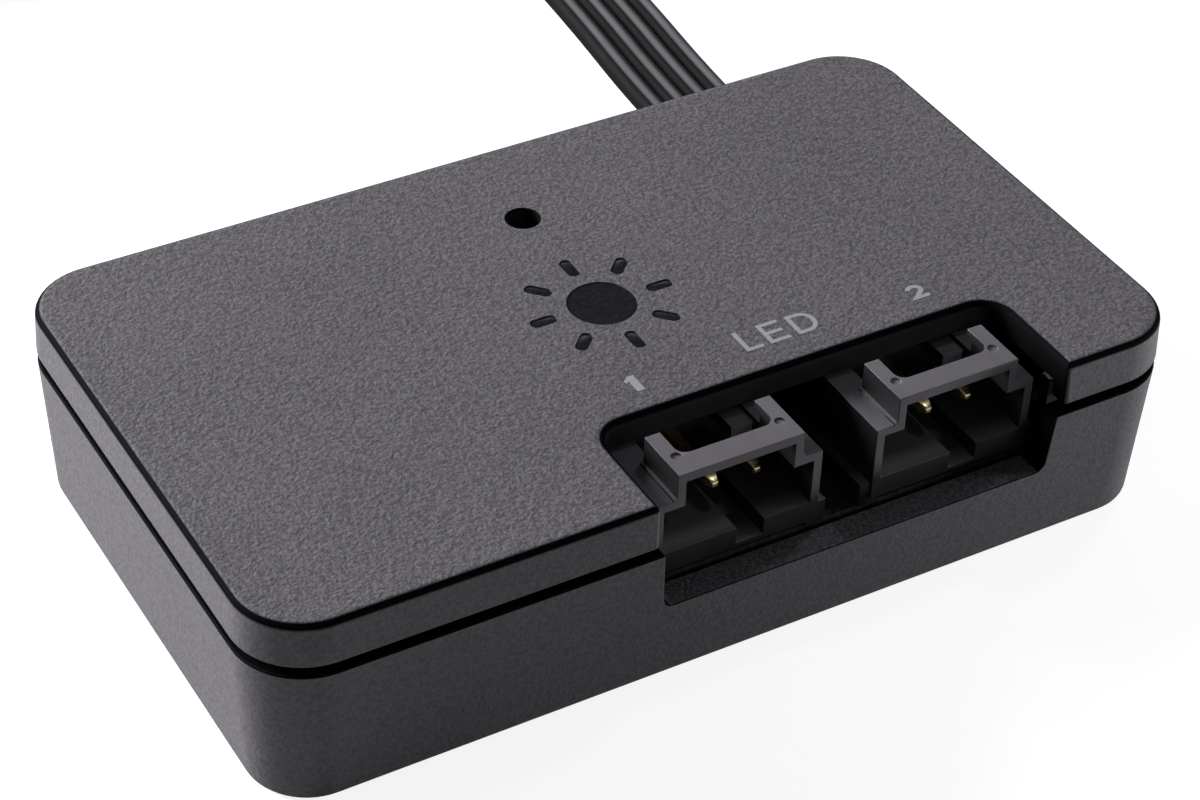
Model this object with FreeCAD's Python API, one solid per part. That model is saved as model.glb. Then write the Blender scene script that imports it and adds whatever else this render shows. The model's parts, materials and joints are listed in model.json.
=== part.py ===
import FreeCAD, Part
import math
import os

V = FreeCAD.Vector
X_AXIS = V(1, 0, 0)
Y_AXIS = V(0, 1, 0)
Z_AXIS = V(0, 0, 1)

# Sizes in millimetres. X runs along the long side, Y from the outlet side to the lead side, Z up.
# The origin is the middle of the tray's underside.

# Case outline
case_length = 54.0
case_width = 31.6
case_height = 11.95
corner_radius = 3.88
lid_draft = 0.11
tray_draft = 0.46
lid_edge_round = 0.4
tray_edge_chamfer = 0.35
seam_edge_chamfer = 0.12

# Walls and the seam between lid and tray
lid_plate = 1.6
lid_skirt = 1.0
lip_thickness = 0.8
lip_clearance = 0.1
tray_floor = 1.6
lid_height = 2.61
seam_gap = 0.6

# Outlet notch
notch_from_end = 8.075
lid_notch_width = 24.55
lid_notch_depth = 6.9
lid_notch_rear_radius = 1.6
lid_notch_mouth_radius = 0.3
tray_notch_width = 23.96
tray_notch_taper = 0.23
tray_notch_below_board = 0.2
tray_notch_radius = 0.6

# Light hole in the lid, measured from the outlet side
light_hole_diameter = 1.8
light_hole_from_front = 24.64
light_chimney_wall = 0.8
light_chimney_clearance = 0.4

# Snap hooks on the lid and their catches in the tray
hook_width = 4.0
hook_thickness = 0.9
hook_drop = 2.9
hook_barb = 0.45
hook_barb_height = 0.9
hook_clearance = 0.1
hook_side_y = 3.0
hook_back_x = 4.0

# Circuit board and what carries it
board_thickness = 1.6
board_below_top = 6.75
board_edge_clearance = 0.3
board_corner_radius = 2.0
boss_diameter = 4.4
boss_inset = 2.6
screw_shank_diameter = 1.9
screw_head_diameter = 3.4
screw_head_height = 1.2
screw_length = 3.2
screw_slot_width = 0.5
screw_slot_depth = 0.6
screw_clearance = 0.05
board_hole_clearance = 0.15

# Lighting outlets: a stepped shroud that a latched three-way plug slides into
outlet_pitch = 13.2
outlet_recess = 1.8
shroud_depth = 9.0
shroud_rear_wall = 1.6
shroud_width = 9.85
shroud_wall = 0.5
shroud_floor_above_board = 0.5
shroud_floor_thickness = 1.3
shoulder_clearance = 0.1
shoulder_thickness = 0.48
bridge_width = 7.41
bridge_drop = 0.05
bridge_thickness = 0.56
bridge_length = 3.4
bridge_wall = 0.485
latch_bar = 1.4
latch_slot_width = 5.6
latch_slot_radius = 0.6
key_channel_width = 1.65
key_channel_depth = 1.0
key_block_width = 1.3
key_block_from_front = 4.0
key_block_drop = 0.25
key_block_height = 0.7
shroud_foot_width = 0.6
shroud_foot_height = 1.5
shroud_foot_set_back = 0.2
shroud_bead = 0.2
ejector_mark_diameter = 0.55
ejector_mark_depth = 0.1
ejector_mark_inset = 0.25

# Outlet pins
pin_pitch = 2.54
pin_size = 0.64
pin_tip_recess = 2.2
pin_tip_length = 0.5
pin_tip_size = 0.36
pin_above_board = 3.05
pin_bend_radius = 0.9
pin_leg_behind = 1.0
pin_below_board = 0.8
pin_clearance = 0.02
pin_hole_clearance = 0.13

# Data socket in the lead side
socket_from_end = 17.0
socket_width = 7.7
socket_height = 3.95
socket_depth = 9.2
socket_shell = 0.35
socket_keel = 1.1
socket_keel_height = 1.3
socket_mouth_clearance = 0.3
socket_inset = 0.2
tongue_width = 4.6
tongue_thickness = 1.1
tongue_set_back = 1.2
tongue_block = 2.4
socket_contact_pitch = 0.8
socket_contact_width = 0.4
socket_contact_thickness = 0.2
socket_contact_count = 5

# Chips and small parts on the board
controller_size = 7.0
controller_thickness = 1.2
controller_from_end = 15.0
controller_y = 0.0
controller_lead_count = 6
controller_lead_pitch = 1.0
controller_lead_width = 0.36
chip_standoff = 0.1
lead_thickness = 0.15
lead_foot = 0.6
lead_reach = 1.0
buffer_length = 4.9
buffer_width = 3.9
buffer_thickness = 1.4
buffer_from_end = 24.4
buffer_y = 2.4
buffer_lead_count = 4
buffer_lead_pitch = 1.27
buffer_lead_width = 0.42
regulator_length = 6.5
regulator_width = 3.5
regulator_thickness = 1.6
regulator_from_end = 19.0
regulator_y = 9.2
regulator_lead_count = 3
regulator_lead_pitch = 2.3
regulator_lead_width = 0.7
crystal_length = 5.0
crystal_width = 3.2
crystal_height = 1.1
crystal_from_end = 8.6
crystal_y = 7.0
reservoir_length = 7.3
reservoir_width = 4.3
reservoir_height = 2.8
reservoir_from_end = 10.0
reservoir_y = 1.2
fuse_length = 4.5
fuse_width = 3.2
fuse_height = 1.0
fuse_y = 2.4
fuse_from_end = 17.4
small_part_length = 2.0
small_part_width = 1.25
small_part_height = 0.6
small_part_pitch = 2.6
small_part_count = 4
capacitor_row_from_end = 6.0
capacitor_row_y = -7.4
resistor_row_from_end = 5.4
resistor_row_y = -4.6
light_length = 1.6
light_width = 0.8
light_base = 0.4
light_dome = 0.5

# Flat power lead: four round cores side by side
core_diameter = 1.5
core_pitch = 1.46
core_count = 4
lead_from_end = 9.9
lead_below_rim = 0.74
lead_clearance = 0.05
grip_wall = 0.8
grip_flange = 1.5
grip_flange_thickness = 1.6
tail_bend_radius = 1.6
tail_bend_step_count = 3
tail_set_back = 1.0
tail_wire_diameter = 0.8

# Free route of the lead behind the case, then a neat coil with the plug inside its ring
lead_straight = 3.7
lead_bend_a_side = 1.47
lead_bend_a_behind = 17.7
lead_bend_b_side = 4.3
lead_bend_b_behind = 41.2
lead_bend_b_drop = 2.5
lead_bend_c_side = 7.9
lead_bend_c_behind = 62.7
lead_end_side = 11.3
lead_end_behind = 77.3
coil_radius = 36.5
coil_turn_count = 2
coil_pitch = 2.6
tie_angle = 180.0
tie_width = 4.0
tie_thickness = 0.36
tie_clearance = 0.08
tail_run = 9.6
tail_turn = 27.0
tail_bend_count = 5
tail_last_run = 9.6

# Power plug on the far end of the lead
plug_width = 24.4
plug_height = 6.8
plug_body_depth = 9.0
plug_cap_depth = 6.0
plug_slot_width = 21.0
plug_slot_height = 2.4
plug_slot_depth = 7.2
plug_slot_drop = 0.6
plug_key_width = 1.5
plug_key_height = 1.6
plug_contact_count = 15
plug_contact_pitch = 1.27
plug_contact_width = 0.8
plug_contact_thickness = 0.25
plug_contact_set_back = 0.6
plug_cap_inset = 0.7
plug_edge_chamfer = 0.5
plug_entry_depth = 2.0

# Places that follow from the sizes above
front = -case_width / 2
back = case_width / 2
wall = lid_skirt + lip_clearance + lip_thickness
lid_bottom = case_height - lid_height
tray_rim = lid_bottom - seam_gap
lid_under = case_height - lid_plate
board_top = case_height - board_below_top
board_bottom = board_top - board_thickness
left_end = -case_length / 2
right_end = case_length / 2
notch_centre = right_end - notch_from_end - lid_notch_width / 2
tray_notch_floor = board_top - tray_notch_below_board
board_length = case_length - 2 * (wall + board_edge_clearance)
board_width = case_width - 2 * (wall + board_edge_clearance)
shroud_front = front + outlet_recess
shroud_back = shroud_front + shroud_depth
shroud_floor_bottom = board_top + shroud_floor_above_board
shroud_floor_top = shroud_floor_bottom + shroud_floor_thickness
pin_height = board_top + pin_above_board
shoulder_top = lid_under - shoulder_clearance
shoulder_under = shoulder_top - shoulder_thickness
bridge_top = case_height - bridge_drop
bridge_under = bridge_top - bridge_thickness
outlet_centres = [notch_centre + side * outlet_pitch / 2 for side in (-1, 1)]
pin_leg_y = shroud_back + pin_leg_behind
lead_x = right_end - lead_from_end
lead_height = tray_rim - lead_below_rim
lead_width = (core_count - 1) * core_pitch + core_diameter
grip_width = lead_width + 2 * grip_wall
grip_bottom = lead_height - core_diameter / 2 - grip_wall
grip_top = lid_bottom - lead_clearance
grip_inner = back - wall - grip_flange_thickness
socket_x = left_end + socket_from_end
socket_front = back - socket_inset
socket_back = socket_front - socket_depth
light_hole_y = front + light_hole_from_front
controller_x = left_end + controller_from_end
crystal_x = left_end + crystal_from_end
buffer_x = right_end - buffer_from_end
regulator_x = right_end - regulator_from_end
reservoir_x = right_end - reservoir_from_end
fuse_x = right_end - fuse_from_end
capacitor_row_x = left_end + capacitor_row_from_end
resistor_row_x = left_end + resistor_row_from_end
coil_middle_height = plug_height / 2
route_bend_a = V(lead_x + lead_bend_a_side, back + lead_bend_a_behind, lead_height)
route_bend_b = V(lead_x + lead_bend_b_side, back + lead_bend_b_behind, lead_height - lead_bend_b_drop)
route_bend_c = V(lead_x + lead_bend_c_side, back + lead_bend_c_behind, coil_middle_height)
route_end = V(lead_x + lead_end_side, back + lead_end_behind, coil_middle_height)


def block(x0, x1, y0, y1, z0, z1):
    """A box between two corners."""
    return Part.makeBox(x1 - x0, y1 - y0, z1 - z0, V(x0, y0, z0))


def centred_block(x, y, z0, length, width, height):
    """A box standing at z0, centred on x and y."""
    return block(x - length / 2, x + length / 2, y - width / 2, y + width / 2, z0, z0 + height)


def rod(x, y, z0, z1, diameter):
    """An upright cylinder."""
    return Part.makeCylinder(diameter / 2, z1 - z0, V(x, y, z0))


def joined(shapes):
    """One solid from shapes that overlap or share faces."""
    first = shapes[0]
    rest = shapes[1:]
    return first.fuse(rest).removeSplitter() if rest else first


def drafted_block(inset_low, inset_high, z0, z1):
    """A block with the case outline: sides that lean between two insets, and conical corners to match."""
    a = case_length / 2 - corner_radius
    b = case_width / 2 - corner_radius
    low = corner_radius - inset_low
    high = corner_radius - inset_high
    across = [V(-a, -b - low, z0), V(-a, b + low, z0), V(-a, b + high, z1), V(-a, -b - high, z1)]
    along = [V(-a - low, -b, z0), V(a + low, -b, z0), V(a + high, -b, z1), V(-a - high, -b, z1)]
    pieces = [profile_along(across, V(2 * a, 0, 0)), profile_along(along, V(0, 2 * b, 0))]
    for x in (-a, a):
        for y in (-b, b):
            pieces.append(Part.makeCone(low, high, z1 - z0, V(x, y, z0)))
    return joined(pieces)


def rounded_block(length, width, radius, z0, z1):
    """A straight-sided block about the case's middle with rounded upright corners."""
    blank = centred_block(0, 0, z0, length, width, z1 - z0)
    return blank.makeFillet(radius, [e for e in blank.Edges if e.BoundBox.ZLength > 0.5 * (z1 - z0)])


def rounded_slab(inset, z0, z1):
    """A straight-sided slab, inset from the case outline on every side."""
    return rounded_block(
        case_length - 2 * inset, case_width - 2 * inset, corner_radius - inset, z0, z1
    )


def profile_along(points, direction):
    """A straight solid with the given polygon as its section."""
    return Part.Face(Part.makePolygon(points + points[:1])).extrude(direction)


def edges_at_height(shape, z):
    """The edges that lie level at one height."""
    near = 1e-4
    return [e for e in shape.Edges if abs(e.BoundBox.ZMin - z) < near and abs(e.BoundBox.ZMax - z) < near]


def hook_places():
    """Where the lid's hooks stand against the inside of the lip: (point, outward direction)."""
    side = case_length / 2 - wall
    rear = back - wall
    return [
        (V(-side, hook_side_y, 0), V(-1, 0, 0)),
        (V(side, hook_side_y, 0), V(1, 0, 0)),
        (V(hook_back_x, rear, 0), V(0, 1, 0)),
        (V(-case_length / 4 - hook_width, rear, 0), V(0, 1, 0)),
    ]


def against_wall(place, outward, along0, along1, depth0, depth1, z0, z1):
    """A box set out from a point on the lip's inner face; depth is positive towards the outside."""
    along = Z_AXIS.cross(outward)
    corners = [place + along * a + outward * d for a in (along0, along1) for d in (depth0, depth1)]
    xs = [c.x for c in corners]
    ys = [c.y for c in corners]
    return block(min(xs), max(xs), min(ys), max(ys), z0, z1)


def notch_cutter():
    """The outlet notch seen from above: open to the outlet side, with rounded inner corners."""
    left = notch_centre - lid_notch_width / 2
    right = notch_centre + lid_notch_width / 2
    rear = front + lid_notch_depth
    cutter = block(left, right, front - 1, rear, lid_bottom - 1, case_height + 1)
    inner = [e for e in cutter.Edges if e.BoundBox.ZLength > lid_height and e.BoundBox.YMin > rear - 0.01]
    return cutter.makeFillet(lid_notch_rear_radius, inner)


def make_lid():
    """The lid: a drafted shell with the outlet notch, the light hole and four snap hooks."""
    skin = drafted_block(0, lid_draft, lid_bottom, case_height).cut(notch_cutter())
    mouth = [
        e for e in skin.Edges
        if e.BoundBox.ZLength > 0.9 * lid_height and e.BoundBox.XLength < 0.01
        and e.BoundBox.YMax < front + 2 * lid_draft and abs(e.BoundBox.XMin - notch_centre) < lid_notch_width
    ]
    skin = skin.makeFillet(lid_notch_mouth_radius, mouth)
    skin = skin.makeFillet(lid_edge_round, edges_at_height(skin, case_height))
    skin = skin.makeChamfer(seam_edge_chamfer, edges_at_height(skin, lid_bottom))
    lid = skin.cut(rounded_slab(lid_skirt, lid_bottom - 1, lid_under))
    chimney_low = board_top + light_base + light_dome + light_chimney_clearance
    chimney_diameter = light_hole_diameter + 2 * light_chimney_wall
    lid = joined([lid, rod(0, light_hole_y, chimney_low, lid_under, chimney_diameter)])
    lid = lid.cut(rod(0, light_hole_y, chimney_low - 1, case_height + 1, light_hole_diameter))
    hooks = []
    for place, outward in hook_places():
        inner = -hook_clearance - hook_thickness
        half = hook_width / 2
        low = lid_under - hook_drop
        stem = against_wall(place, outward, -half, half, inner, -hook_clearance, low, lid_under)
        heel = place + outward * -hook_clearance
        along = Z_AXIS.cross(outward)
        corner = heel - along * half
        barb = profile_along(
            [
                corner + V(0, 0, low),
                corner + outward * hook_barb + V(0, 0, low + hook_barb_height - hook_clearance),
                corner + outward * hook_barb + V(0, 0, low + hook_barb_height),
                corner + V(0, 0, low + hook_barb_height),
            ],
            along * hook_width,
        )
        hooks.append(stem.fuse(barb))
    return joined([lid] + hooks)


def make_tray():
    """The tray: a drafted tub with a raised lip, board bosses, hook catches and the three openings."""
    tub = drafted_block(tray_draft, 0, 0, tray_rim)
    tub = tub.makeChamfer(tray_edge_chamfer, edges_at_height(tub, 0))
    tub = tub.makeChamfer(seam_edge_chamfer, edges_at_height(tub, tray_rim))
    lip = rounded_slab(lid_skirt + lip_clearance, tray_rim - seam_gap, lid_under)
    tub = tub.fuse(lip).cut(rounded_slab(wall, tray_floor, lid_under + 1))

    half_top = tray_notch_width / 2
    half_low = half_top - tray_notch_taper
    reach = wall + 2
    y0 = front - 1
    opening = profile_along(
        [
            V(notch_centre - half_top, y0, lid_under + 1),
            V(notch_centre - half_top, y0, tray_rim),
            V(notch_centre - half_low, y0, tray_notch_floor),
            V(notch_centre + half_low, y0, tray_notch_floor),
            V(notch_centre + half_top, y0, tray_rim),
            V(notch_centre + half_top, y0, lid_under + 1),
        ],
        V(0, reach, 0),
    )
    corners = [
        e for e in opening.Edges
        if abs(e.BoundBox.ZMax - tray_notch_floor) < 1e-4 and e.BoundBox.YLength > reach - 0.01
    ]
    tub = tub.cut(opening.makeFillet(tray_notch_radius, corners))

    grip_gap = lead_clearance
    tub = tub.cut(block(
        lead_x - grip_width / 2 - grip_gap, lead_x + grip_width / 2 + grip_gap,
        back - wall - 1, back + 1, grip_bottom - grip_gap, lid_under + 1,
    ))
    tub = tub.cut(block(
        socket_x - socket_width / 2 - socket_mouth_clearance,
        socket_x + socket_width / 2 + socket_mouth_clearance,
        back - wall - 1, back + 1, board_top - socket_mouth_clearance, lid_under + 1,
    ))
    for place, outward in hook_places():
        half = hook_width / 2 + hook_clearance
        z0 = lid_under - hook_drop - hook_clearance
        z1 = lid_under - hook_drop + hook_barb_height + hook_clearance
        tub = tub.cut(against_wall(place, outward, -half, half, -1, hook_barb, z0, z1))
    bosses = []
    for x, y in boss_places():
        bosses.append(eight_sided_rod(x, y, tray_floor, board_bottom, boss_diameter))
    tub = joined([tub] + bosses)
    for x, y in boss_places():
        depth = screw_length - board_thickness + screw_clearance * 4
        pilot = screw_shank_diameter + 2 * screw_clearance
        tub = tub.cut(eight_sided_rod(x, y, board_bottom - depth, board_bottom + 1, pilot))
    return tub


def boss_places():
    """The board's four fixing points, the same distance in from its edges."""
    x = board_length / 2 - boss_inset
    y = board_width / 2 - boss_inset
    return [(-x, -y), (x, -y), (-x, y), (x, y)]


def outlet_pin_xs(centre):
    """The three pins of one outlet, about its middle."""
    return [centre + i * pin_pitch for i in (-1, 0, 1)]


def core_xs():
    """The four cores of the lead, side by side."""
    return [lead_x + (i - (core_count - 1) / 2) * core_pitch for i in range(core_count)]


def core_leg_y():
    """Where the cores go down to the board inside the case."""
    return grip_inner - tail_set_back - tail_bend_radius


def make_board():
    """The circuit board with its fixing holes and the holes for soldered legs."""
    board = rounded_block(board_length, board_width, board_corner_radius, board_bottom, board_top)
    for x, y in boss_places():
        diameter = screw_shank_diameter + 2 * board_hole_clearance
        board = board.cut(rod(x, y, board_bottom - 1, board_top + 1, diameter))
    for x in core_xs():
        diameter = tail_wire_diameter + 2 * pin_hole_clearance
        board = board.cut(eight_sided_rod(x, core_leg_y(), board_bottom - 1, board_top + 1, diameter))
    slot = pin_size + 2 * pin_hole_clearance
    for centre in outlet_centres:
        for x in outlet_pin_xs(centre):
            board = board.cut(centred_block(x, pin_leg_y, board_bottom - 1, slot, slot, board_thickness + 2))
    return board


def make_screw(x, y):
    """A pan-head board screw with a cross slot."""
    shank = eight_sided_rod(x, y, board_top - screw_length, board_top, screw_shank_diameter)
    head = rod(x, y, board_top, board_top + screw_head_height, screw_head_diameter)
    head = head.makeChamfer(screw_head_height * 0.35, edges_at_height(head, board_top + screw_head_height))
    z = board_top + screw_head_height - screw_slot_depth
    long = screw_head_diameter * 0.55
    for length, width in ((long, screw_slot_width), (screw_slot_width, long)):
        head = head.cut(centred_block(x, y, z, length, width, screw_slot_depth + 1))
    return joined([shank, head])


def make_shroud(centre):
    """One outlet shroud: floor, stepped side walls, shoulders, latch bridge and rear wall."""
    half = shroud_width / 2
    inner = half - shroud_wall
    bridge = bridge_width / 2
    upper = bridge - bridge_wall
    y0 = shroud_front
    y1 = shroud_back
    cavity_back = y1 - shroud_rear_wall
    bridge_back = y0 + bridge_length

    body = block(-half, half, y0, y1, shroud_floor_bottom, shoulder_top)
    hood = block(-bridge, bridge, y0, bridge_back, shoulder_top, bridge_top)
    bead = bridge + shroud_bead
    beads = block(-bead, bead, y0, bridge_back, shoulder_top, shoulder_top + shroud_bead * 0.6)
    foot = half + shroud_foot_width
    foot_front = y0 + shroud_foot_set_back
    feet = [
        block(-foot, -inner, foot_front, y1, board_top, board_top + shroud_foot_height),
        block(inner, foot, foot_front, y1, board_top, board_top + shroud_foot_height),
    ]
    shroud = joined([body, hood, beads] + feet)
    shroud = shroud.cut(block(-inner, inner, y0 - 1, cavity_back, shroud_floor_top, shoulder_under))
    shroud = shroud.cut(block(-upper, upper, y0 - 1, cavity_back, shoulder_under - 0.01, bridge_under))
    slot = block(
        -latch_slot_width / 2, latch_slot_width / 2,
        y0 + latch_bar, bridge_back + 1, bridge_under - 0.01, bridge_top + 1,
    )
    slot_corners = [
        e for e in slot.Edges
        if e.BoundBox.ZLength > bridge_thickness and abs(e.BoundBox.YMax - y0 - latch_bar) < 1e-4
    ]
    shroud = shroud.cut(slot.makeFillet(latch_slot_radius, slot_corners))
    shroud = shroud.cut(block(
        0, key_channel_width, y0 - 1, cavity_back,
        shroud_floor_top - key_channel_depth, shroud_floor_top + 0.01,
    ))
    key_top = shoulder_top - key_block_drop
    key = block(
        upper - key_block_width, upper, y0 + key_block_from_front, cavity_back,
        key_top - key_block_height, key_top,
    )
    shroud = joined([shroud, key])
    mark_x = latch_slot_width / 2 + ejector_mark_inset
    for side in (-1, 1):
        shroud = shroud.cut(rod(
            side * mark_x, y0 + latch_bar,
            bridge_top - ejector_mark_depth, bridge_top + 1, ejector_mark_diameter,
        ))
    hole = pin_size + 2 * pin_clearance
    for x in outlet_pin_xs(0):
        shroud = shroud.cut(block(
            x - hole / 2, x + hole / 2, cavity_back - 1, y1 + 1, pin_height - hole / 2, pin_height + hole / 2
        ))
    shroud.translate(V(centre, 0, 0))
    return shroud


def square_section(middle, across, up, size):
    """A closed square wire about a point."""
    a = across * (size / 2)
    b = up * (size / 2)
    points = [middle - a - b, middle + a - b, middle + a + b, middle - a + b]
    return Part.makePolygon(points + points[:1])


def make_pin(x):
    """One right-angle outlet pin with a tapered tip, through the rear wall and down into the board."""
    tip = shroud_front + pin_tip_recess
    shaft = tip + pin_tip_length
    low = board_bottom - pin_below_board
    bend = pin_bend_radius
    corner = V(x, pin_leg_y - bend, pin_height)
    leg = V(x, pin_leg_y, pin_height - bend)
    centre = V(x, pin_leg_y - bend, pin_height - bend)
    middle = centre + V(0, math.sin(math.pi / 4), math.cos(math.pi / 4)) * bend
    path = Part.Wire([
        Part.LineSegment(V(x, shaft, pin_height), corner).toShape(),
        Part.Arc(corner, middle, leg).toShape(),
        Part.LineSegment(leg, V(x, pin_leg_y, low)).toShape(),
    ])
    section = square_section(V(x, shaft, pin_height), X_AXIS, Z_AXIS, pin_size)
    shank = path.makePipeShell([section], True, False)
    point = Part.makeLoft(
        [
            square_section(V(x, tip, pin_height), X_AXIS, Z_AXIS, pin_tip_size),
            square_section(V(x, shaft, pin_height), X_AXIS, Z_AXIS, pin_size),
        ],
        True, True,
    )
    return joined([shank, point])


def socket_section(inset, y):
    """The data socket's outline at one place along its depth: wide above, with a narrower keel below."""
    a = socket_width / 2 - inset
    keel = socket_width / 2 - socket_keel - inset
    top = board_top + socket_height - inset
    step = board_top + socket_keel_height + inset * 0.4
    low = board_top + inset
    slope = socket_keel * 0.7
    return [
        V(socket_x - keel, y, low), V(socket_x + keel, y, low),
        V(socket_x + keel, y, step), V(socket_x + a, y, step + slope),
        V(socket_x + a, y, top), V(socket_x - a, y, top),
        V(socket_x - a, y, step + slope), V(socket_x - keel, y, step),
    ]


def make_socket_shell():
    """The folded metal shell of the data socket, open towards the lead side."""
    outer = profile_along(socket_section(0, socket_back), V(0, socket_depth, 0))
    inner = profile_along(socket_section(socket_shell, socket_back + socket_shell), V(0, socket_depth, 0))
    return outer.cut(inner)


def socket_tongue_middle():
    """Height of the middle of the contact tongue."""
    return board_top + socket_height * 0.56


def make_socket_insert():
    """The moulded block inside the data socket with the tongue that carries its contacts."""
    rear = socket_back + socket_shell
    plug = profile_along(socket_section(socket_shell, rear), V(0, tongue_block, 0))
    middle = socket_tongue_middle()
    tongue = block(
        socket_x - tongue_width / 2, socket_x + tongue_width / 2,
        rear, socket_front - tongue_set_back, middle - tongue_thickness / 2, middle + tongue_thickness / 2,
    )
    return joined([plug, tongue])


def make_socket_contacts():
    """Flat contacts lying side by side on the underside of the tongue."""
    top = socket_tongue_middle() - tongue_thickness / 2
    rear = socket_back + socket_shell + tongue_block
    first = socket_x - (socket_contact_count - 1) / 2 * socket_contact_pitch
    blades = []
    for i in range(socket_contact_count):
        x = first + i * socket_contact_pitch
        blades.append(block(
            x - socket_contact_width / 2, x + socket_contact_width / 2,
            rear, socket_front - tongue_set_back - socket_contact_pitch / 2,
            top - socket_contact_thickness, top,
        ))
    return Part.makeCompound(blades)


def gull_lead(edge, outward, seat, width):
    """One bent chip lead from the body's side down to the board; outward is a unit vector."""
    along = Z_AXIS.cross(outward)
    rise = seat - board_top
    bend = lead_reach - lead_foot
    t = lead_thickness
    steps = [
        (0, rise), (bend * 0.5 + t, rise), (bend + t, t), (lead_reach, t),
        (lead_reach, 0), (bend, 0), (bend * 0.5, rise - t), (0, rise - t),
    ]
    base = edge - along * (width / 2) + V(0, 0, board_top)
    points = [base + outward * d + V(0, 0, h) for d, h in steps]
    return profile_along(points, along * width)


def chip_body(x, y, length, width, thickness):
    """A moulded chip body with a chamfered upper edge."""
    body = centred_block(x, y, board_top + chip_standoff, length, width, thickness)
    return body.makeChamfer(thickness * 0.2, edges_at_height(body, board_top + chip_standoff + thickness))


def make_controller_leads():
    """Leads on all four sides of the microcontroller."""
    leads = []
    seat = board_top + chip_standoff + controller_thickness * 0.5
    half = controller_size / 2
    for outward in (X_AXIS, -X_AXIS, Y_AXIS, -Y_AXIS):
        along = Z_AXIS.cross(outward)
        for i in range(controller_lead_count):
            offset = (i - (controller_lead_count - 1) / 2) * controller_lead_pitch
            edge = V(controller_x, controller_y, 0) + outward * half + along * offset
            leads.append(gull_lead(edge, outward, seat, controller_lead_width))
    return Part.makeCompound(leads)


def make_two_row_leads(x, y, width, thickness, count, pitch, lead_wide):
    """Leads along the two long sides of a small chip, along X."""
    leads = []
    seat = board_top + chip_standoff + thickness * 0.5
    for outward in (Y_AXIS, -Y_AXIS):
        for i in range(count):
            offset = (i - (count - 1) / 2) * pitch
            edge = V(x + offset, y, 0) + outward * (width / 2)
            leads.append(gull_lead(edge, outward, seat, lead_wide))
    return Part.makeCompound(leads)


def make_crystal():
    """The clock crystal: a ceramic base with a drawn metal lid."""
    base = centred_block(crystal_x, crystal_y, board_top, crystal_length, crystal_width, crystal_height * 0.6)
    cap = centred_block(
        crystal_x, crystal_y, board_top + crystal_height * 0.6,
        crystal_length - 0.5, crystal_width - 0.5, crystal_height * 0.4,
    )
    return joined([base, cap])


def make_reservoir(x):
    """A moulded reservoir capacitor with a chamfered top, standing by one outlet."""
    body = centred_block(x, reservoir_y, board_top, reservoir_length, reservoir_width, reservoir_height)
    return body.makeChamfer(reservoir_height * 0.15, edges_at_height(body, board_top + reservoir_height))


def small_part_row(x, y, step):
    """A row of chip-sized parts that starts at x and y and goes on by a step vector."""
    parts = []
    for i in range(small_part_count):
        at = V(x, y, 0) + step * i
        parts.append(centred_block(
            at.x, at.y, board_top, small_part_length, small_part_width, small_part_height
        ))
    return Part.makeCompound(parts)


def make_light():
    """The status light under the lid's hole: a small base with a clear dome."""
    base = centred_block(0, light_hole_y, board_top, light_length, light_width, light_base)
    dome = centred_block(0, light_hole_y, board_top + light_base, light_length * 0.6, light_width, light_dome)
    dome = dome.makeChamfer(light_dome * 0.3, edges_at_height(dome, board_top + light_base + light_dome))
    return joined([base, dome])


def make_grip():
    """The lead grip: a collar in the tray wall with a flange inside, round the flat lead."""
    collar = block(
        lead_x - grip_width / 2, lead_x + grip_width / 2, grip_inner, back, grip_bottom, grip_top
    )
    flange = block(
        lead_x - grip_width / 2 - grip_flange, lead_x + grip_width / 2 + grip_flange,
        grip_inner, back - wall, grip_bottom, grip_top,
    )
    grip = joined([collar, flange])
    return grip.cut(lead_bar(grip_inner - 1, back + 1, lead_clearance))


def lead_bar(y0, y1, extra):
    """A straight stretch of the flat lead along Y, larger all round by extra."""
    half = lead_width / 2 + extra
    high = core_diameter / 2 + extra
    return block(lead_x - half, lead_x + half, y0, y1, lead_height - high, lead_height + high)


def eight_sided(middle, across, up, diameter):
    """The corners of an eight-sided section about a point, for a round piece with few faces."""
    angles = [math.radians(22.5 + 45 * i) for i in range(8)]
    return [middle + (across * math.cos(a) + up * math.sin(a)) * (diameter / 2) for a in angles]


def eight_sided_rod(x, y, z0, z1, diameter):
    """An upright rod with eight flat sides."""
    return profile_along(eight_sided(V(x, y, z0), X_AXIS, Y_AXIS, diameter), V(0, 0, z1 - z0))


def make_core_tails():
    """The four cores inside the case: out of the grip, round a bend and down to the board."""
    tails = []
    for x in core_xs():
        start = V(x, grip_inner, lead_height)
        centre = V(x, grip_inner - tail_set_back, lead_height - tail_bend_radius)
        sections = [eight_sided(start, X_AXIS, Z_AXIS, core_pitch - 2 * lead_clearance)]
        for step in range(tail_bend_step_count + 1):
            angle = math.pi / 2 * step / tail_bend_step_count
            up = V(0, -math.sin(angle), math.cos(angle))
            middle = centre + up * tail_bend_radius
            sections.append(eight_sided(middle, X_AXIS, up, core_pitch - 2 * lead_clearance))
        end = V(x, core_leg_y(), board_top)
        sections.append(eight_sided(end, X_AXIS, -Y_AXIS, core_pitch - 2 * lead_clearance))
        cover = flat_faced_skin(sections)
        wire = eight_sided_rod(x, core_leg_y(), board_bottom - pin_below_board, board_top, tail_wire_diameter)
        tails.append(joined([cover, wire]))
    return Part.makeCompound(tails)


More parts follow.
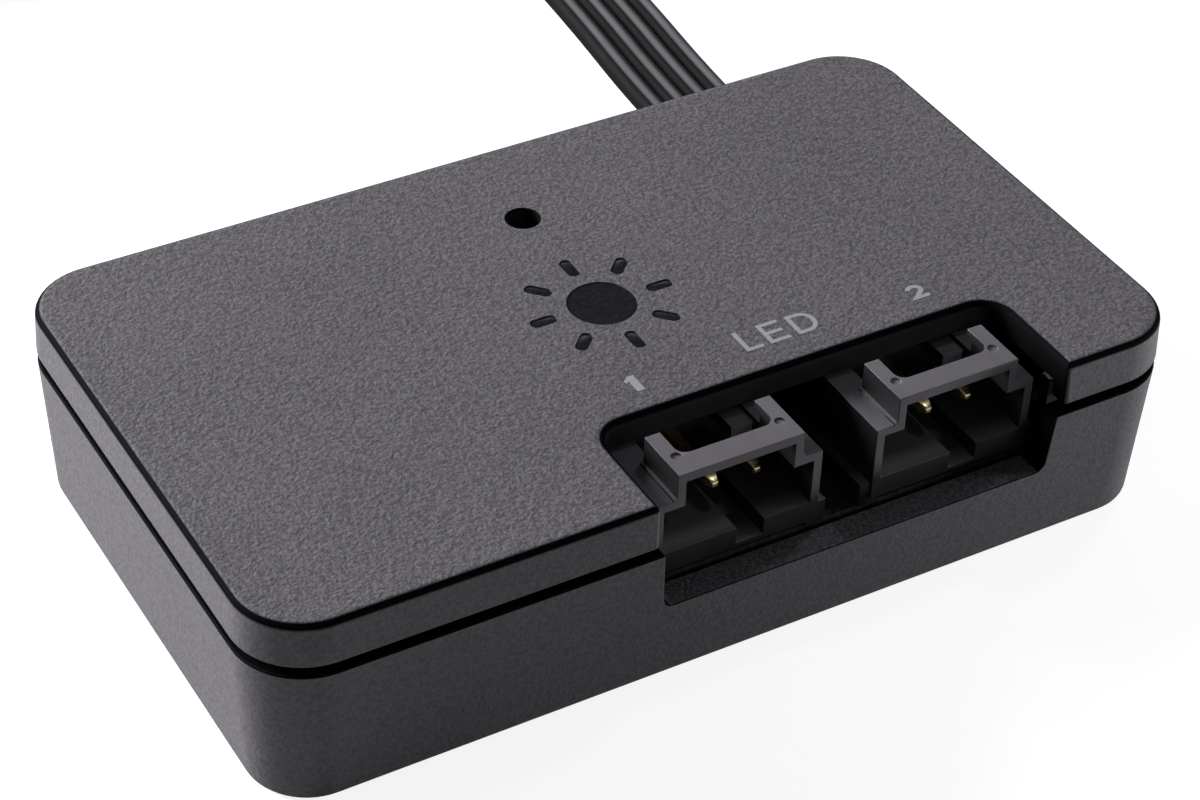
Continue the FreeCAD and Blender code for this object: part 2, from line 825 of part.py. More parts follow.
def rounded_path(points, name):
    """A wire of straight runs joined by tangent arcs, each as large as its two runs allow."""
    edges = []
    at = points[0]
    radii = []
    for i in range(1, len(points) - 1):
        before = points[i] - points[i - 1]
        after = points[i + 1] - points[i]
        turn = before.getAngle(after)
        cut = 0.45 * min(before.Length, after.Length)
        radius = cut / math.tan(turn / 2)
        radii.append(radius)
        into = points[i] - before.normalize() * cut
        out = points[i] + after.normalize() * cut
        inward = (after - before).normalize()
        middle = points[i] + inward * (radius / math.cos(turn / 2) - radius)
        edges.append(Part.LineSegment(at, into).toShape())
        edges.append(Part.Arc(into, middle, out).toShape())
        at = out
    edges.append(Part.LineSegment(at, points[-1]).toShape())
    wire = Part.Wire(edges)
    print(name, "length", round(wire.Length, 2), "radii", [round(r, 1) for r in radii])
    return wire


def flat_faced_skin(sections):
    """A closed solid through sections with equal corner counts; each side between two is two flat faces."""
    faces = [
        Part.Face(Part.makePolygon(sections[0] + sections[0][:1])),
        Part.Face(Part.makePolygon(sections[-1] + sections[-1][:1])),
    ]
    for near, far in zip(sections, sections[1:]):
        for i in range(len(near)):
            j = (i + 1) % len(near)
            faces.append(Part.Face(Part.makePolygon([near[i], near[j], far[j], near[i]])))
            faces.append(Part.Face(Part.makePolygon([near[i], far[j], far[i], near[i]])))
    return Part.makeSolid(Part.makeShell(faces))


def flat_lead(points, twist_from, twist_to, turn_start, turn_end, name):
    """The flat lead along a route; it rolls from one angle to another between two shares of its length."""
    wire = rounded_path(points, name)
    total = wire.Length
    sections = []
    gone = 0.0
    for edge in wire.Edges:
        steps = 3 if isinstance(edge.Curve, Part.Line) else 4
        for k in range(steps if gone + edge.Length < total - 1e-6 else steps + 1):
            share = k / steps
            where = edge.FirstParameter + (edge.LastParameter - edge.FirstParameter) * share
            along = (gone + edge.Length * share) / total
            ahead = edge.tangentAt(where)
            blend = min(1.0, max(0.0, (along - twist_from) / (twist_to - twist_from)))
            roll = math.radians(turn_start + (turn_end - turn_start) * blend)
            level = ahead.cross(Z_AXIS).normalize()
            upright = level.cross(ahead).normalize()
            across = level * math.cos(roll) + upright * math.sin(roll)
            thick = upright * math.cos(roll) - level * math.sin(roll)
            middle = edge.valueAt(where)
            a = across * (lead_width / 2)
            b = thick * (core_diameter / 2)
            corners = [middle - a - b, middle + a - b, middle + a + b, middle - a + b]
            sections.append(corners)
        gone += edge.Length
    solid = flat_faced_skin(sections)
    share = solid.Volume / (lead_width * core_diameter * total)
    print(name, "volume is", round(share, 4), "of section times length")
    return solid


def lead_route():
    """The lead's points from the inside of the grip to where the coil begins."""
    start = V(lead_x, grip_inner, lead_height)
    straight = V(lead_x, back + lead_straight, lead_height)
    return [start, straight, route_bend_a, route_bend_b, route_bend_c, route_end]


def coil_frame():
    """The coil's middle and the angle that turns its own axes to where the lead runs into it."""
    heading = route_end - route_bend_c
    angle = math.degrees(math.atan2(heading.y, heading.x)) - 90
    left = V(-heading.y, heading.x, 0).normalize()
    return route_end + left * coil_radius, angle


def into_place(shape):
    """Moves a shape from the coil's own axes to where the coil lies."""
    middle, angle = coil_frame()
    shape.rotate(V(0, 0, 0), Z_AXIS, angle)
    shape.translate(V(middle.x, middle.y, 0))
    return shape


def spiral_loop(radius):
    """A closed wire of two half circles that ends one pitch further in than it began."""
    second = radius - coil_pitch / 2
    shift = -coil_pitch / 2
    return Part.Wire([
        Part.Arc(V(radius, 0, 0), V(0, radius, 0), V(-radius, 0, 0)).toShape(),
        Part.Arc(V(-radius, 0, 0), V(shift, -second, 0), V(shift + second, 0, 0)).toShape(),
        Part.LineSegment(V(shift + second, 0, 0), V(radius, 0, 0)).toShape(),
    ])


def coil_low():
    """Height of the coil's lower edge."""
    return route_end.z - lead_width / 2


def coil_inner_radius():
    """Radius of the inside of the innermost turn where it begins."""
    return coil_radius - (coil_turn_count - 1) * coil_pitch - core_diameter / 2


def make_coil():
    """The wound turns of the lead, standing on edge, as one ring with a step where each end leaves."""
    outer = Part.Face(spiral_loop(coil_radius + core_diameter / 2))
    inner = Part.Face(spiral_loop(coil_inner_radius()))
    ring = outer.extrude(V(0, 0, lead_width)).cut(inner.extrude(V(0, 0, lead_width)))
    ring.translate(V(0, 0, coil_low()))
    return into_place(ring)


def make_tie():
    """The tie: a thin band closed round the wound turns."""
    gap = tie_clearance
    x0 = -coil_radius - core_diameter / 2 - gap
    x1 = -coil_inner_radius() + gap + tie_width**2 / (8 * coil_inner_radius())
    z0 = coil_low() - gap
    z1 = coil_low() + lead_width + gap
    t = tie_thickness
    band = block(x0 - t, x1 + t, -tie_width / 2, tie_width / 2, z0 - t, z1 + t)
    band = band.cut(block(x0, x1, -tie_width, tie_width, z0, z1))
    band.rotate(V(0, 0, 0), Z_AXIS, tie_angle - 180)
    return into_place(band)


def tail_route():
    """The lead's inner end, from the innermost turn across the ring to the plug, on the coil's axes."""
    at = V(coil_radius - coil_turn_count * coil_pitch, 0, route_end.z)
    points = [at]
    heading = 90.0
    for i in range(tail_bend_count):
        points.append(points[-1] + direction(heading) * tail_run)
        heading += tail_turn
    points.append(points[-1] + direction(heading) * tail_last_run)
    return points


def direction(angle):
    """A level unit vector at an angle from X."""
    return V(math.cos(math.radians(angle)), math.sin(math.radians(angle)), 0)


def plug_in_place(shape):
    """Moves a plug piece, made along +X from its cable entry, to the end of the lead."""
    points = tail_route()
    heading = points[-1] - points[-2]
    shape.rotate(V(0, 0, 0), Z_AXIS, math.degrees(math.atan2(heading.y, heading.x)))
    shape.translate(V(points[-1].x, points[-1].y, 0))
    return into_place(shape)


def plug_levels():
    """Heights of the slot in the plug: its lower and upper face."""
    middle = plug_height / 2 - plug_slot_drop
    return middle - plug_slot_height / 2, middle + plug_slot_height / 2


def make_plug_body():
    """The plug's housing with its keyed slot."""
    x0 = plug_cap_depth - plug_entry_depth
    x1 = x0 + plug_body_depth
    half = plug_width / 2
    body = block(x0, x1, -half, half, 0, plug_height)
    body = body.makeChamfer(
        plug_edge_chamfer,
        [e for e in body.Edges if e.BoundBox.XLength > plug_body_depth - 0.01],
    )
    low, high = plug_levels()
    slot = block(x1 - plug_slot_depth, x1 + 1, -plug_slot_width / 2, plug_slot_width / 2, low, high)
    key = block(
        x1 - plug_slot_depth, x1 + 1,
        plug_slot_width / 2 - plug_key_width, plug_slot_width / 2, low, high + plug_key_height,
    )
    return plug_in_place(body.cut(slot.fuse(key)))


def make_plug_cap():
    """The cover behind the plug's housing that closes over the cores, with the lead's entry."""
    x0 = -plug_entry_depth
    x1 = plug_cap_depth - plug_entry_depth
    half = plug_width / 2 - plug_cap_inset
    low = plug_cap_inset
    high = plug_height - plug_cap_inset
    taper = plug_cap_depth * 0.5
    cap = profile_along(
        [
            V(x0, -half + taper, low), V(x0, half - taper, low), V(x0 + taper, half, low),
            V(x1, half, low), V(x1, -half, low), V(x0 + taper, -half, low),
        ],
        V(0, 0, high - low),
    )
    entry = block(
        x0 - 1, 0, -lead_width / 2 - lead_clearance, lead_width / 2 + lead_clearance,
        route_end.z - core_diameter / 2 - lead_clearance, route_end.z + core_diameter / 2 + lead_clearance,
    )
    return plug_in_place(cap.cut(entry))


def make_plug_contacts():
    """The plug's flat spring contacts, side by side on the upper face of the slot."""
    x1 = plug_cap_depth - plug_entry_depth + plug_body_depth
    low, high = plug_levels()
    blades = []
    for i in range(plug_contact_count):
        y = (i - (plug_contact_count - 1) / 2) * plug_contact_pitch
        blades.append(block(
            x1 - plug_slot_depth, x1 - plug_contact_set_back,
            y - plug_contact_width / 2, y + plug_contact_width / 2, low, low + plug_contact_thickness,
        ))
    return plug_in_place(Part.makeCompound(blades))


nodes = {
    "lid": make_lid(),
    "tray": make_tray(),
    "circuit_board": make_board(),
    "data_socket_shell": make_socket_shell(),
    "data_socket_insert": make_socket_insert(),
    "data_socket_contacts": make_socket_contacts(),
    "microcontroller": chip_body(
        controller_x, controller_y, controller_size, controller_size, controller_thickness
    ),
    "microcontroller_leads": make_controller_leads(),
    "line_buffer": chip_body(buffer_x, buffer_y, buffer_length, buffer_width, buffer_thickness),
    "line_buffer_leads": make_two_row_leads(
        buffer_x, buffer_y, buffer_width, buffer_thickness,
        buffer_lead_count, buffer_lead_pitch, buffer_lead_width,
    ),
    "voltage_regulator": chip_body(
        regulator_x, regulator_y, regulator_length, regulator_width, regulator_thickness
    ),
    "voltage_regulator_leads": make_two_row_leads(
        regulator_x, regulator_y, regulator_width, regulator_thickness,
        regulator_lead_count, regulator_lead_pitch, regulator_lead_width,
    ),
    "clock_crystal": make_crystal(),
    "reservoir_capacitor": make_reservoir(reservoir_x),
    "supply_fuse": centred_block(fuse_x, fuse_y, board_top, fuse_length, fuse_width, fuse_height),
    "bypass_capacitors": small_part_row(capacitor_row_x, capacitor_row_y, X_AXIS * small_part_pitch),
    "line_resistors": small_part_row(resistor_row_x, resistor_row_y, Y_AXIS * small_part_pitch),
    "status_light": make_light(),
    "lead_grip": make_grip(),
    "lead_core_tails": make_core_tails(),
    "power_lead": flat_lead(lead_route(), 0.45, 0.9, 0, 90, "power_lead"),
    "power_lead_coil": make_coil(),
    "power_lead_end": into_place(flat_lead(tail_route(), 0.45, 0.9, 90, 180, "power_lead_end")),
    "lead_tie": make_tie(),
    "power_plug_body": make_plug_body(),
    "power_plug_cap": make_plug_cap(),
    "power_plug_contacts": make_plug_contacts(),
}
for number, (x, y) in enumerate(boss_places(), 1):
    nodes[f"board_screw_{number}"] = make_screw(x, y)
for number, centre in enumerate(outlet_centres, 1):
    nodes[f"outlet_{number}_shroud"] = make_shroud(centre)
    for name, x in zip(("supply", "data", "ground"), outlet_pin_xs(centre)):
        nodes[f"outlet_{number}_{name}_pin"] = make_pin(x)

for name, shape in nodes.items():
    shape.exportStep(f"parts/{name}.step")
    print(name, len(shape.Solids), "valid" if shape.isValid() else "not valid", round(shape.Volume, 2))
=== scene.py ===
"""Looks of a small lighting controller: a pebbled case, two latched outlets and a flat coiled power lead."""

from __future__ import annotations

import json
import logging
import math
from collections.abc import Iterable, Mapping, Sequence
from dataclasses import dataclass, field
from enum import Enum

import bmesh
import bpy
from mathutils import Matrix, Vector

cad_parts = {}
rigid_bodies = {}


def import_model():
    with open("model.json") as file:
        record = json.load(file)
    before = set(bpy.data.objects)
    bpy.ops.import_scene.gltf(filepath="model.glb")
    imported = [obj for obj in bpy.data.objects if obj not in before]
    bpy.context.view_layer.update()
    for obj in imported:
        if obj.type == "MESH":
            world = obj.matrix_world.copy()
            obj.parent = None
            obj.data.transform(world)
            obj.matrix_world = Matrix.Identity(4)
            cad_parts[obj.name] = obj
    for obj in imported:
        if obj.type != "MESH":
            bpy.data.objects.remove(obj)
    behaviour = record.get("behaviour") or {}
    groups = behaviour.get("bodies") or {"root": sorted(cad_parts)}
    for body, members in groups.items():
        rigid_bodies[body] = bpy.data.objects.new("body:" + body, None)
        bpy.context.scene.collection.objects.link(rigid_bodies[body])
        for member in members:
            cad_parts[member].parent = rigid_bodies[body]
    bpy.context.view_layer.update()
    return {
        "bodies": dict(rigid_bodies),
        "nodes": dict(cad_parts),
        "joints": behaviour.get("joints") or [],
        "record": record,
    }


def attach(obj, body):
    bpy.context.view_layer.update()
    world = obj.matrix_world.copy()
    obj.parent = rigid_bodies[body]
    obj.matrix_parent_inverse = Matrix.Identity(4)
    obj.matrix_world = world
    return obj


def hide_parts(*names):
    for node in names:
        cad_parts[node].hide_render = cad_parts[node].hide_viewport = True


LOG = logging.getLogger("controller")
MM = 0.001
BODY = "root"
Colour = tuple[float, float, float, float]
Point = tuple[float, float]
Place = tuple[float, float, float]

# The middle of a value that runs from 0 to 1
MIDDLE = 0.5
# How far a carving tool reaches past what it cuts, in millimetres
THROUGH = 1.0
# The rounding of a corner that looks sharp, in millimetres
SHARP = 0.02
# How far the extra rings beside a rounding stand off, on walls and on flats, in millimetres
WALL_RING = 0.1
FLAT_RING = 0.15
# Steps of a small rounding in section
FINE_STEPS = 4


class Maths(Enum):
    """Operations of a Math node that the finishes use."""

    ADD = "ADD"
    SUBTRACT = "SUBTRACT"
    MULTIPLY = "MULTIPLY"


class Carve(Enum):
    """How one mesh acts on another."""

    CUT = "DIFFERENCE"
    JOIN = "UNION"


class Wire:
    """One output socket of a material's nodes; arithmetic on it adds Math nodes."""

    def __init__(self, graph: NodeGraph, socket: bpy.types.NodeSocket) -> None:
        """Keeps the graph and the socket."""
        self.graph = graph
        self.socket = socket

    def _maths(self, operation: Maths, first: Feed, second: Feed) -> Wire:
        """Adds one Math node."""
        return self.graph.add("ShaderNodeMath", {"operation": operation.value}, {0: first, 1: second})

    def __add__(self, other: Feed) -> Wire:
        """Self plus other."""
        return self._maths(Maths.ADD, self, other)

    def __radd__(self, other: Feed) -> Wire:
        """Other plus self."""
        return self._maths(Maths.ADD, other, self)

    def __sub__(self, other: Feed) -> Wire:
        """Self less other."""
        return self._maths(Maths.SUBTRACT, self, other)

    def __rsub__(self, other: Feed) -> Wire:
        """Other less self."""
        return self._maths(Maths.SUBTRACT, other, self)

    def __mul__(self, other: Feed) -> Wire:
        """Self times other."""
        return self._maths(Maths.MULTIPLY, self, other)

    def __rmul__(self, other: Feed) -> Wire:
        """Other times self."""
        return self._maths(Maths.MULTIPLY, other, self)

    def between(self, low: float, high: float) -> Wire:
        """This value spread from low..high to 0..1 and clamped."""
        feeds = {0: self, 1: low, 2: high, 3: 0.0, 4: 1.0}
        return self.graph.add("ShaderNodeMapRange", {"clamp": True}, feeds)

    def within(self, low: float, high: float, fade: float = 0.1) -> Wire:
        """1 between two values, with a short fade at each."""
        return self.between(low, low + fade) * (1 - self.between(high - fade, high))

    def either(self, other: Wire) -> Wire:
        """1 where this mask or the other is 1."""
        return 1 - (1 - self) * (1 - other)

    def sway(self, amount: float) -> Wire:
        """This value's swing about its middle, times an amount."""
        return amount * (self - MIDDLE)


Feed = Wire | float | Sequence[float]


class NodeGraph:
    """The node tree of one material, or of the surroundings."""

    def __init__(self, owner: bpy.types.Material | bpy.types.World) -> None:
        """Empties the owner's tree.

        Args:
            owner: What the tree belongs to.
        """
        owner.use_nodes = True
        self.tree = owner.node_tree
        self.tree.nodes.clear()

    def add(
        self,
        kind: str,
        settings: Mapping[str, object] | None = None,
        feeds: Mapping[int | str, Feed] | None = None,
        output: int | str = 0,
    ) -> Wire:
        """Adds one node.

        Args:
            kind: The node's type.
            settings: Properties of the node, set first.
            feeds: Values or links by input name or number.
            output: The output to return.

        Returns:
            That output, wrapped.
        """
        node = self.tree.nodes.new(kind)
        for name, value in (settings or {}).items():
            setattr(node, name, value)
        for key, value in (feeds or {}).items():
            if isinstance(value, Wire):
                self.tree.links.new(value.socket, node.inputs[key])
            else:
                node.inputs[key].default_value = value
        return Wire(self, node.outputs[output])

    def place(self) -> Wire:
        """The surface point in the object's own axes, in metres."""
        return self.add("ShaderNodeTexCoord", output="Object")

    def place_mm(self, axis: str) -> Wire:
        """The surface point along one axis, in millimetres."""
        return self.add("ShaderNodeSeparateXYZ", {}, {0: self.place()}, output=axis) * (1 / MM)

    def facing(self, axis: str) -> Wire:
        """How far the surface faces along one axis: 1 for fully, -1 for away."""
        normal = self.add("ShaderNodeNewGeometry", output="Normal")
        return self.add("ShaderNodeSeparateXYZ", {}, {0: normal}, output=axis)

    def noise(
        self, size_mm: float, detail: float = 2.0, rough: float = 0.5, stretch: Place | None = None
    ) -> Wire:
        """Soft noise.

        Args:
            size_mm: About how large its blobs are.
            detail: How many finer layers it has.
            rough: How strong those layers are.
            stretch: Factors on the three axes, to draw the blobs out.

        Returns:
            The noise, about 0.5 on average.
        """
        at = self.place()
        if stretch is not None:
            at = self.add("ShaderNodeVectorMath", {"operation": "MULTIPLY"}, {0: at, 1: stretch})
        return self.add(
            "ShaderNodeTexNoise", {},
            {"Vector": at, "Scale": 1.0 / (size_mm * MM), "Detail": detail, "Roughness": rough},
        )

    def pebbles(self, size_mm: float) -> Wire:
        """Rounded cells that run into each other.

        Args:
            size_mm: About how large a cell is.

        Returns:
            The distance to the nearest cell's middle.
        """
        return self.add(
            "ShaderNodeTexVoronoi", {"feature": "SMOOTH_F1"},
            {"Vector": self.place(), "Scale": 1.0 / (size_mm * MM), "Smoothness": 1.0},
        )

    def blend(self, share: Feed, low: Feed, high: Feed) -> Wire:
        """A colour between two others: low at a share of 0, high at 1."""
        return self.add("ShaderNodeMix", {"data_type": "RGBA"}, {0: share, 6: low, 7: high}, output=2)

    def greys(self, share: Feed, level: float, tint: float, spread: Point) -> Wire:
        """A grey between two shares of a level, which spread gives."""
        return self.blend(share, *(grey(level * part, tint) for part in spread))

    def bump(self, height: Wire, depth_mm: float) -> Wire:
        """A normal bumped by a height, of which 1 is depth_mm deep."""
        feeds = {"Strength": 1.0, "Distance": depth_mm * MM, "Height": height}
        return self.add("ShaderNodeBump", {}, feeds)

    def surface(self, **feeds: Feed) -> Wire:
        """A surface shader with these inputs, named with _ for a space."""
        return self.add("ShaderNodeBsdfPrincipled", {}, {k.replace("_", " "): v for k, v in feeds.items()})

    def layered(self, share: Wire, below: Wire, above: Wire) -> Wire:
        """One shader over another: the one above shows where share is 1."""
        return self.add("ShaderNodeMixShader", {}, {0: share, 1: below, 2: above})

    def add_output(self, shader: Wire, kind: str = "ShaderNodeOutputMaterial") -> None:
        """Links a shader to the tree's output."""
        node = self.tree.nodes.new(kind)
        self.tree.links.new(shader.socket, node.inputs["Surface"])

    def close(self, **feeds: Feed) -> None:
        """Adds one surface shader, with inputs as for surface, and the output."""
        self.add_output(self.surface(**feeds))


def grey(level: float, tint: float = 0.0) -> Colour:
    """A near grey, cooler as tint grows."""
    return (level, level * (1 - tint), level * (1 + tint), 1.0)


def dimmed(colour: Colour, share: float) -> Colour:
    """A share of a colour."""
    return tuple(c * share for c in colour[:3]) + (1.0,)


@dataclass(frozen=True)
class Finish:
    """A surface finish; each kind fills a material in its own way."""

    name: str
    slot: str

    def material(self) -> bpy.types.Material:
        """Makes the finish's material, only once.

        Returns:
            The material.
        """
        found = bpy.data.materials.get(self.name)
        if found is None:
            found = bpy.data.materials.new(self.name)
            self.fill(NodeGraph(found))
        return found

    def fill(self, graph: NodeGraph) -> None:
        """Adds the finish's nodes to a graph."""
        raise NotImplementedError


@dataclass(frozen=True)
class PebbledPlastic(Finish):
    """Moulded plastic: a fine grain on its faces, and smooth rounded edges and recesses that are darkened by
    painted shade.
    """

    level: float = 0.094
    tint: float = 0.06
    spread: Point = (0.4, 1.6)
    roughness: float = 0.55
    shine: float = 0.28
    grain_mm: float = 0.18
    grain_share: float = 0.7
    cell_mm: float = 0.288
    drift_mm: float = 14.0
    depth_mm: float = 0.08
    pit_heights: Point = (0.4, 0.66)
    side_contrast: float = 0.3
    top_contrast: float = 0.6
    side_depth: float = 0.4
    # Painted shade: the rounded edges and the recesses get a near-black colour and hardly any highlight.
    painted_shade_level: float = 0.004
    painted_shade_spread: Point = (0.8, 1.2)
    painted_shade_roughness: float = 0.5
    painted_shade_shine: float = 0.003
    recess_shade_level: float = 0.045
    top_facing: Point = (0.9, 0.985)
    edge_facing: Point = (0.12, 0.4)
    left_facing: Point = (0.3, 0.8)
    groove_mm: Point = (8.64, 9.36)
    notch_x_mm: Point = (-6.3, 19.6)
    notch_y_mm: Point = (-15.0, -5.0)
    reveal_y_mm: Point = (-16.5, -5.0)
    hole_x_mm: Point = (-1.1, 1.1)
    hole_y_mm: Point = (7.7, 9.95)

    def fill(self, graph: NodeGraph) -> None:
        """Adds the grain, the painted shade on the edges and in the recesses, and the gloss to a graph.

        Args:
            graph: The graph of the finish's material.
        """
        grain = graph.noise(self.grain_mm, rough=0.6)
        cells = graph.pebbles(self.cell_mm)
        height = grain * self.grain_share + (1 - cells) * (1 - self.grain_share)
        drift = graph.noise(self.drift_mm)
        pits = height.between(*self.pit_heights)
        facing_up = graph.facing("Z")
        flat_top = facing_up.between(*self.top_facing)
        # Painted shade goes on the rounded edges between the top and the sides.
        edge = facing_up.between(*self.edge_facing) * (1 - flat_top)
        looks_left = (0 - graph.facing("X")).between(*self.left_facing)
        # Painted shade goes in the seam's groove, on the notch's inner walls and in the light hole.
        recess_shade_mask = self.recess(graph, flat_top, looks_left)
        contrast = self.side_contrast + (self.top_contrast - self.side_contrast) * flat_top
        # Lower grain is painted darker: partly the grain's own tone, partly painted shade in the pits.
        share = MIDDLE + (pits - MIDDLE) * contrast + drift.sway(0.2)
        depth = self.side_depth + (1 - self.side_depth) * flat_top
        rough_face = graph.surface(
            Base_Color=graph.greys(share, self.level, self.tint, self.spread),
            Roughness=self.roughness + drift.sway(0.14) + pits.sway(-0.12),
            Normal=graph.bump(height * depth, self.depth_mm),
            Specular_IOR_Level=self.shine,
        )
        # The colour of the painted shade, near black.
        painted_shade_colour = graph.greys(drift, self.painted_shade_level, self.tint, self.painted_shade_spread)
        # In the recesses the painted shade is paler, except on the rounded edges, on walls that face left and on
        # flats.
        paler_recess_shade = recess_shade_mask * (1 - edge) * (1 - looks_left) * (1 - flat_top)
        painted_shade_surface = graph.surface(
            Base_Color=graph.blend(paler_recess_shade, painted_shade_colour, grey(self.recess_shade_level, self.tint)),
            Roughness=self.painted_shade_roughness + drift.sway(0.1),
            Specular_IOR_Level=self.painted_shade_shine,
        )
        # The painted shade covers the rounded edges and the recesses.
        graph.add_output(graph.layered(edge.either(recess_shade_mask), rough_face, painted_shade_surface))

    def recess(self, graph: NodeGraph, flat_top: Wire, looks_left: Wire) -> Wire:
        """1 where shade is painted: in the seam's groove, on the notch's inner walls and in the light hole.

        Args:
            graph: The graph that the mask goes into.
            flat_top: 1 where the surface is level.
            looks_left: 1 where the surface faces left.

        Returns:
            The mask.
        """
        x, y, z = (graph.place_mm(axis) for axis in "XYZ")
        reveal = y.within(*self.reveal_y_mm) * looks_left
        notch = x.within(*self.notch_x_mm) * y.within(*self.notch_y_mm).either(reveal)
        hole = x.within(*self.hole_x_mm) * y.within(*self.hole_y_mm)
        walls = notch.either(hole) * (1 - flat_top)
        return z.within(*self.groove_mm).either(walls)


@dataclass(frozen=True)
class MouldedNylon(Finish):
    """Smooth moulded nylon with faint flow marks."""

    level: float = 0.108
    tint: float = 0.06
    roughness: float = 0.38
    shine: float = 0.5
    spread: Point = (0.75, 1.3)
    flow_mm: float = 2.4
    flow_stretch: Place = (1.0, 0.35, 1.0)
    grain_mm: float = 0.5
    grain_share: float = 0.7
    depth_mm: float = 0.012

    def fill(self, graph: NodeGraph) -> None:
        """Adds the flow marks and a soft sheen to a graph.

        Args:
            graph: The graph of the finish's material.
        """
        flow = graph.noise(self.flow_mm, detail=4.0, rough=0.6, stretch=self.flow_stretch)
        grain = graph.noise(self.grain_mm, detail=3.0, rough=0.6)
        graph.close(
            Base_Color=self.shade(graph, flow),
            Roughness=self.roughness + flow.sway(0.22) + grain.sway(0.1),
            Normal=graph.bump(grain * self.grain_share + flow * (1 - self.grain_share), self.depth_mm),
            Specular_IOR_Level=self.shine,
        )

    def shade(self, graph: NodeGraph, flow: Wire) -> Wire:
        """The plastic's colour along the flow marks."""
        return graph.greys(flow, self.level, self.tint, self.spread)


@dataclass(frozen=True)
class OutletNylon(MouldedNylon):
    """Nylon, pale on top and on its front edges, with painted shade on its walls and far inside and painted
    light near the mouth.
    """

    level: float = 0.112
    shine: float = 0.2
    # Painted shade on walls and far inside, and painted light on the low floors near the mouth.
    wall_shade_level: float = 0.01
    floor_light_level: float = 0.24
    deep_shade_level: float = 0.045
    wall_facing: Point = (0.3, 0.7)
    floor_z_mm: Point = (7.1, 8.6)
    deep_y_mm: Point = (-14.7, -12.6)

    def shade(self, graph: NodeGraph, flow: Wire) -> Wire:
        """The pale colour, with painted shade on the walls, low on the front and far inside, and painted light
        on the low floors near the mouth.

        Args:
            graph: The graph that the colour goes into.
            flow: The flow marks, 0 to 1.

        Returns:
            The colour.
        """
        pale = super().shade(graph, flow)
        walls, fronts = ((0 - graph.facing(axis)).between(*self.wall_facing) for axis in "XY")
        low = 1 - graph.place_mm("Z").between(*self.floor_z_mm)
        deep = graph.place_mm("Y").between(*self.deep_y_mm)
        # Painted light on the low floors near the mouth, fading to painted shade far inside.
        floor = graph.blend(deep, grey(self.floor_light_level, self.tint), grey(self.deep_shade_level, self.tint))
        tops = graph.blend(low, pale, floor)
        # Painted shade on walls that face left and on fronts low down.
        return graph.blend(walls.either(fronts * low), tops, grey(self.wall_shade_level, self.tint))


@dataclass(frozen=True)
class CoverVinyl(Finish):
    """Black flexible cover of the lead, with a painted highlight on its crests and painted light on its flanks
    that face right.
    """

    level: float = 0.005
    tint: float = 0.06
    # Painted light: a painted highlight on the crests and paler flanks that face right.
    flank_light_level: float = 0.08
    crest_highlight_level: float = 0.135
    crest_highlight_tint: float = 0.05
    crest_highlight_least: float = 0.7
    crest_highlight_swing: float = 0.5
    roughness: float = 0.56
    shine: float = 0.02
    rub_and_highlight_mm: float = 3.0
    fine_mm: float = 0.35
    fine_share: float = 0.6
    depth_mm: float = 0.012
    crest_up: Point = (0.9, 0.995)
    flank_up: Point = (0.1, 0.4)
    flank_right: Point = (0.25, 0.6)

    def fill(self, graph: NodeGraph) -> None:
        """Adds the painted highlight on the crests, the painted light on the flanks that face right, and a fine
        grain to a graph.

        Args:
            graph: The graph of the finish's material.
        """
        rub_and_highlight = graph.noise(self.rub_and_highlight_mm, detail=3.0, rough=0.6)
        fine = graph.noise(self.fine_mm, detail=3.0, rough=0.55)
        up = graph.facing("Z")
        # Painted highlight on the crests, varied by the noise.
        crest_highlight = up.between(*self.crest_up) * (self.crest_highlight_least + self.crest_highlight_swing * rub_and_highlight)
        # Painted light on the flanks that face right.
        right_flank_light = graph.facing("X").between(*self.flank_right) * up.between(*self.flank_up)
        vinyl_and_flank_light = graph.blend(right_flank_light, grey(self.level, self.tint), grey(self.flank_light_level, self.tint))
        graph.close(
            Base_Color=graph.blend(crest_highlight, vinyl_and_flank_light, grey(self.crest_highlight_level, self.crest_highlight_tint)),
            Roughness=self.roughness + rub_and_highlight.sway(0.14) + fine.sway(0.08),
            Normal=graph.bump(fine * self.fine_share + rub_and_highlight * (1 - self.fine_share), self.depth_mm),
            Specular_IOR_Level=self.shine,
        )


@dataclass(frozen=True)
class PlatedMetal(Finish):
    """Bright plated metal with faint wear."""

    colour: Colour = (0.92, 0.66, 0.24, 1.0)
    roughness: float = 0.2
    worn_share: float = 0.72
    wear_mm: float = 0.5
    scratch_mm: float = 0.12
    scratch_stretch: Place = (1.0, 0.1, 1.0)
    depth_mm: float = 0.004

    def fill(self, graph: NodeGraph) -> None:
        """Adds wear and fine scratches to a graph.

        Args:
            graph: The graph of the finish's material.
        """
        wear = graph.noise(self.wear_mm, detail=4.0, rough=0.6)
        scratch = graph.noise(self.scratch_mm, stretch=self.scratch_stretch)
        graph.close(
            Base_Color=graph.blend(wear, dimmed(self.colour, self.worn_share), self.colour),
            Metallic=1.0,
            Roughness=self.roughness + wear.sway(0.2) + scratch.sway(0.06),
            Normal=graph.bump(scratch, self.depth_mm),
        )


@dataclass(frozen=True)
class PrintedInk(Finish):
    """Pale printed lettering that the grain of the plastic breaks up."""

    colour: Colour = (0.27, 0.275, 0.285, 1.0)
    under: Colour = (0.11, 0.11, 0.115, 1.0)
    roughness: float = 0.5
    grain_mm: float = 0.3
    depth_mm: float = 0.02
    thin_spots: Point = (0.2, 0.36)

    def fill(self, graph: NodeGraph) -> None:
        """Adds the ink and its thin spots to a graph.

        Args:
            graph: The graph of the finish's material.
        """
        grain = graph.noise(self.grain_mm, detail=3.0, rough=0.6)
        graph.close(
            Base_Color=graph.blend(grain.between(*self.thin_spots), self.under, self.colour),
            Roughness=self.roughness + grain.sway(0.2),
            Normal=graph.bump(grain, self.depth_mm),
        )


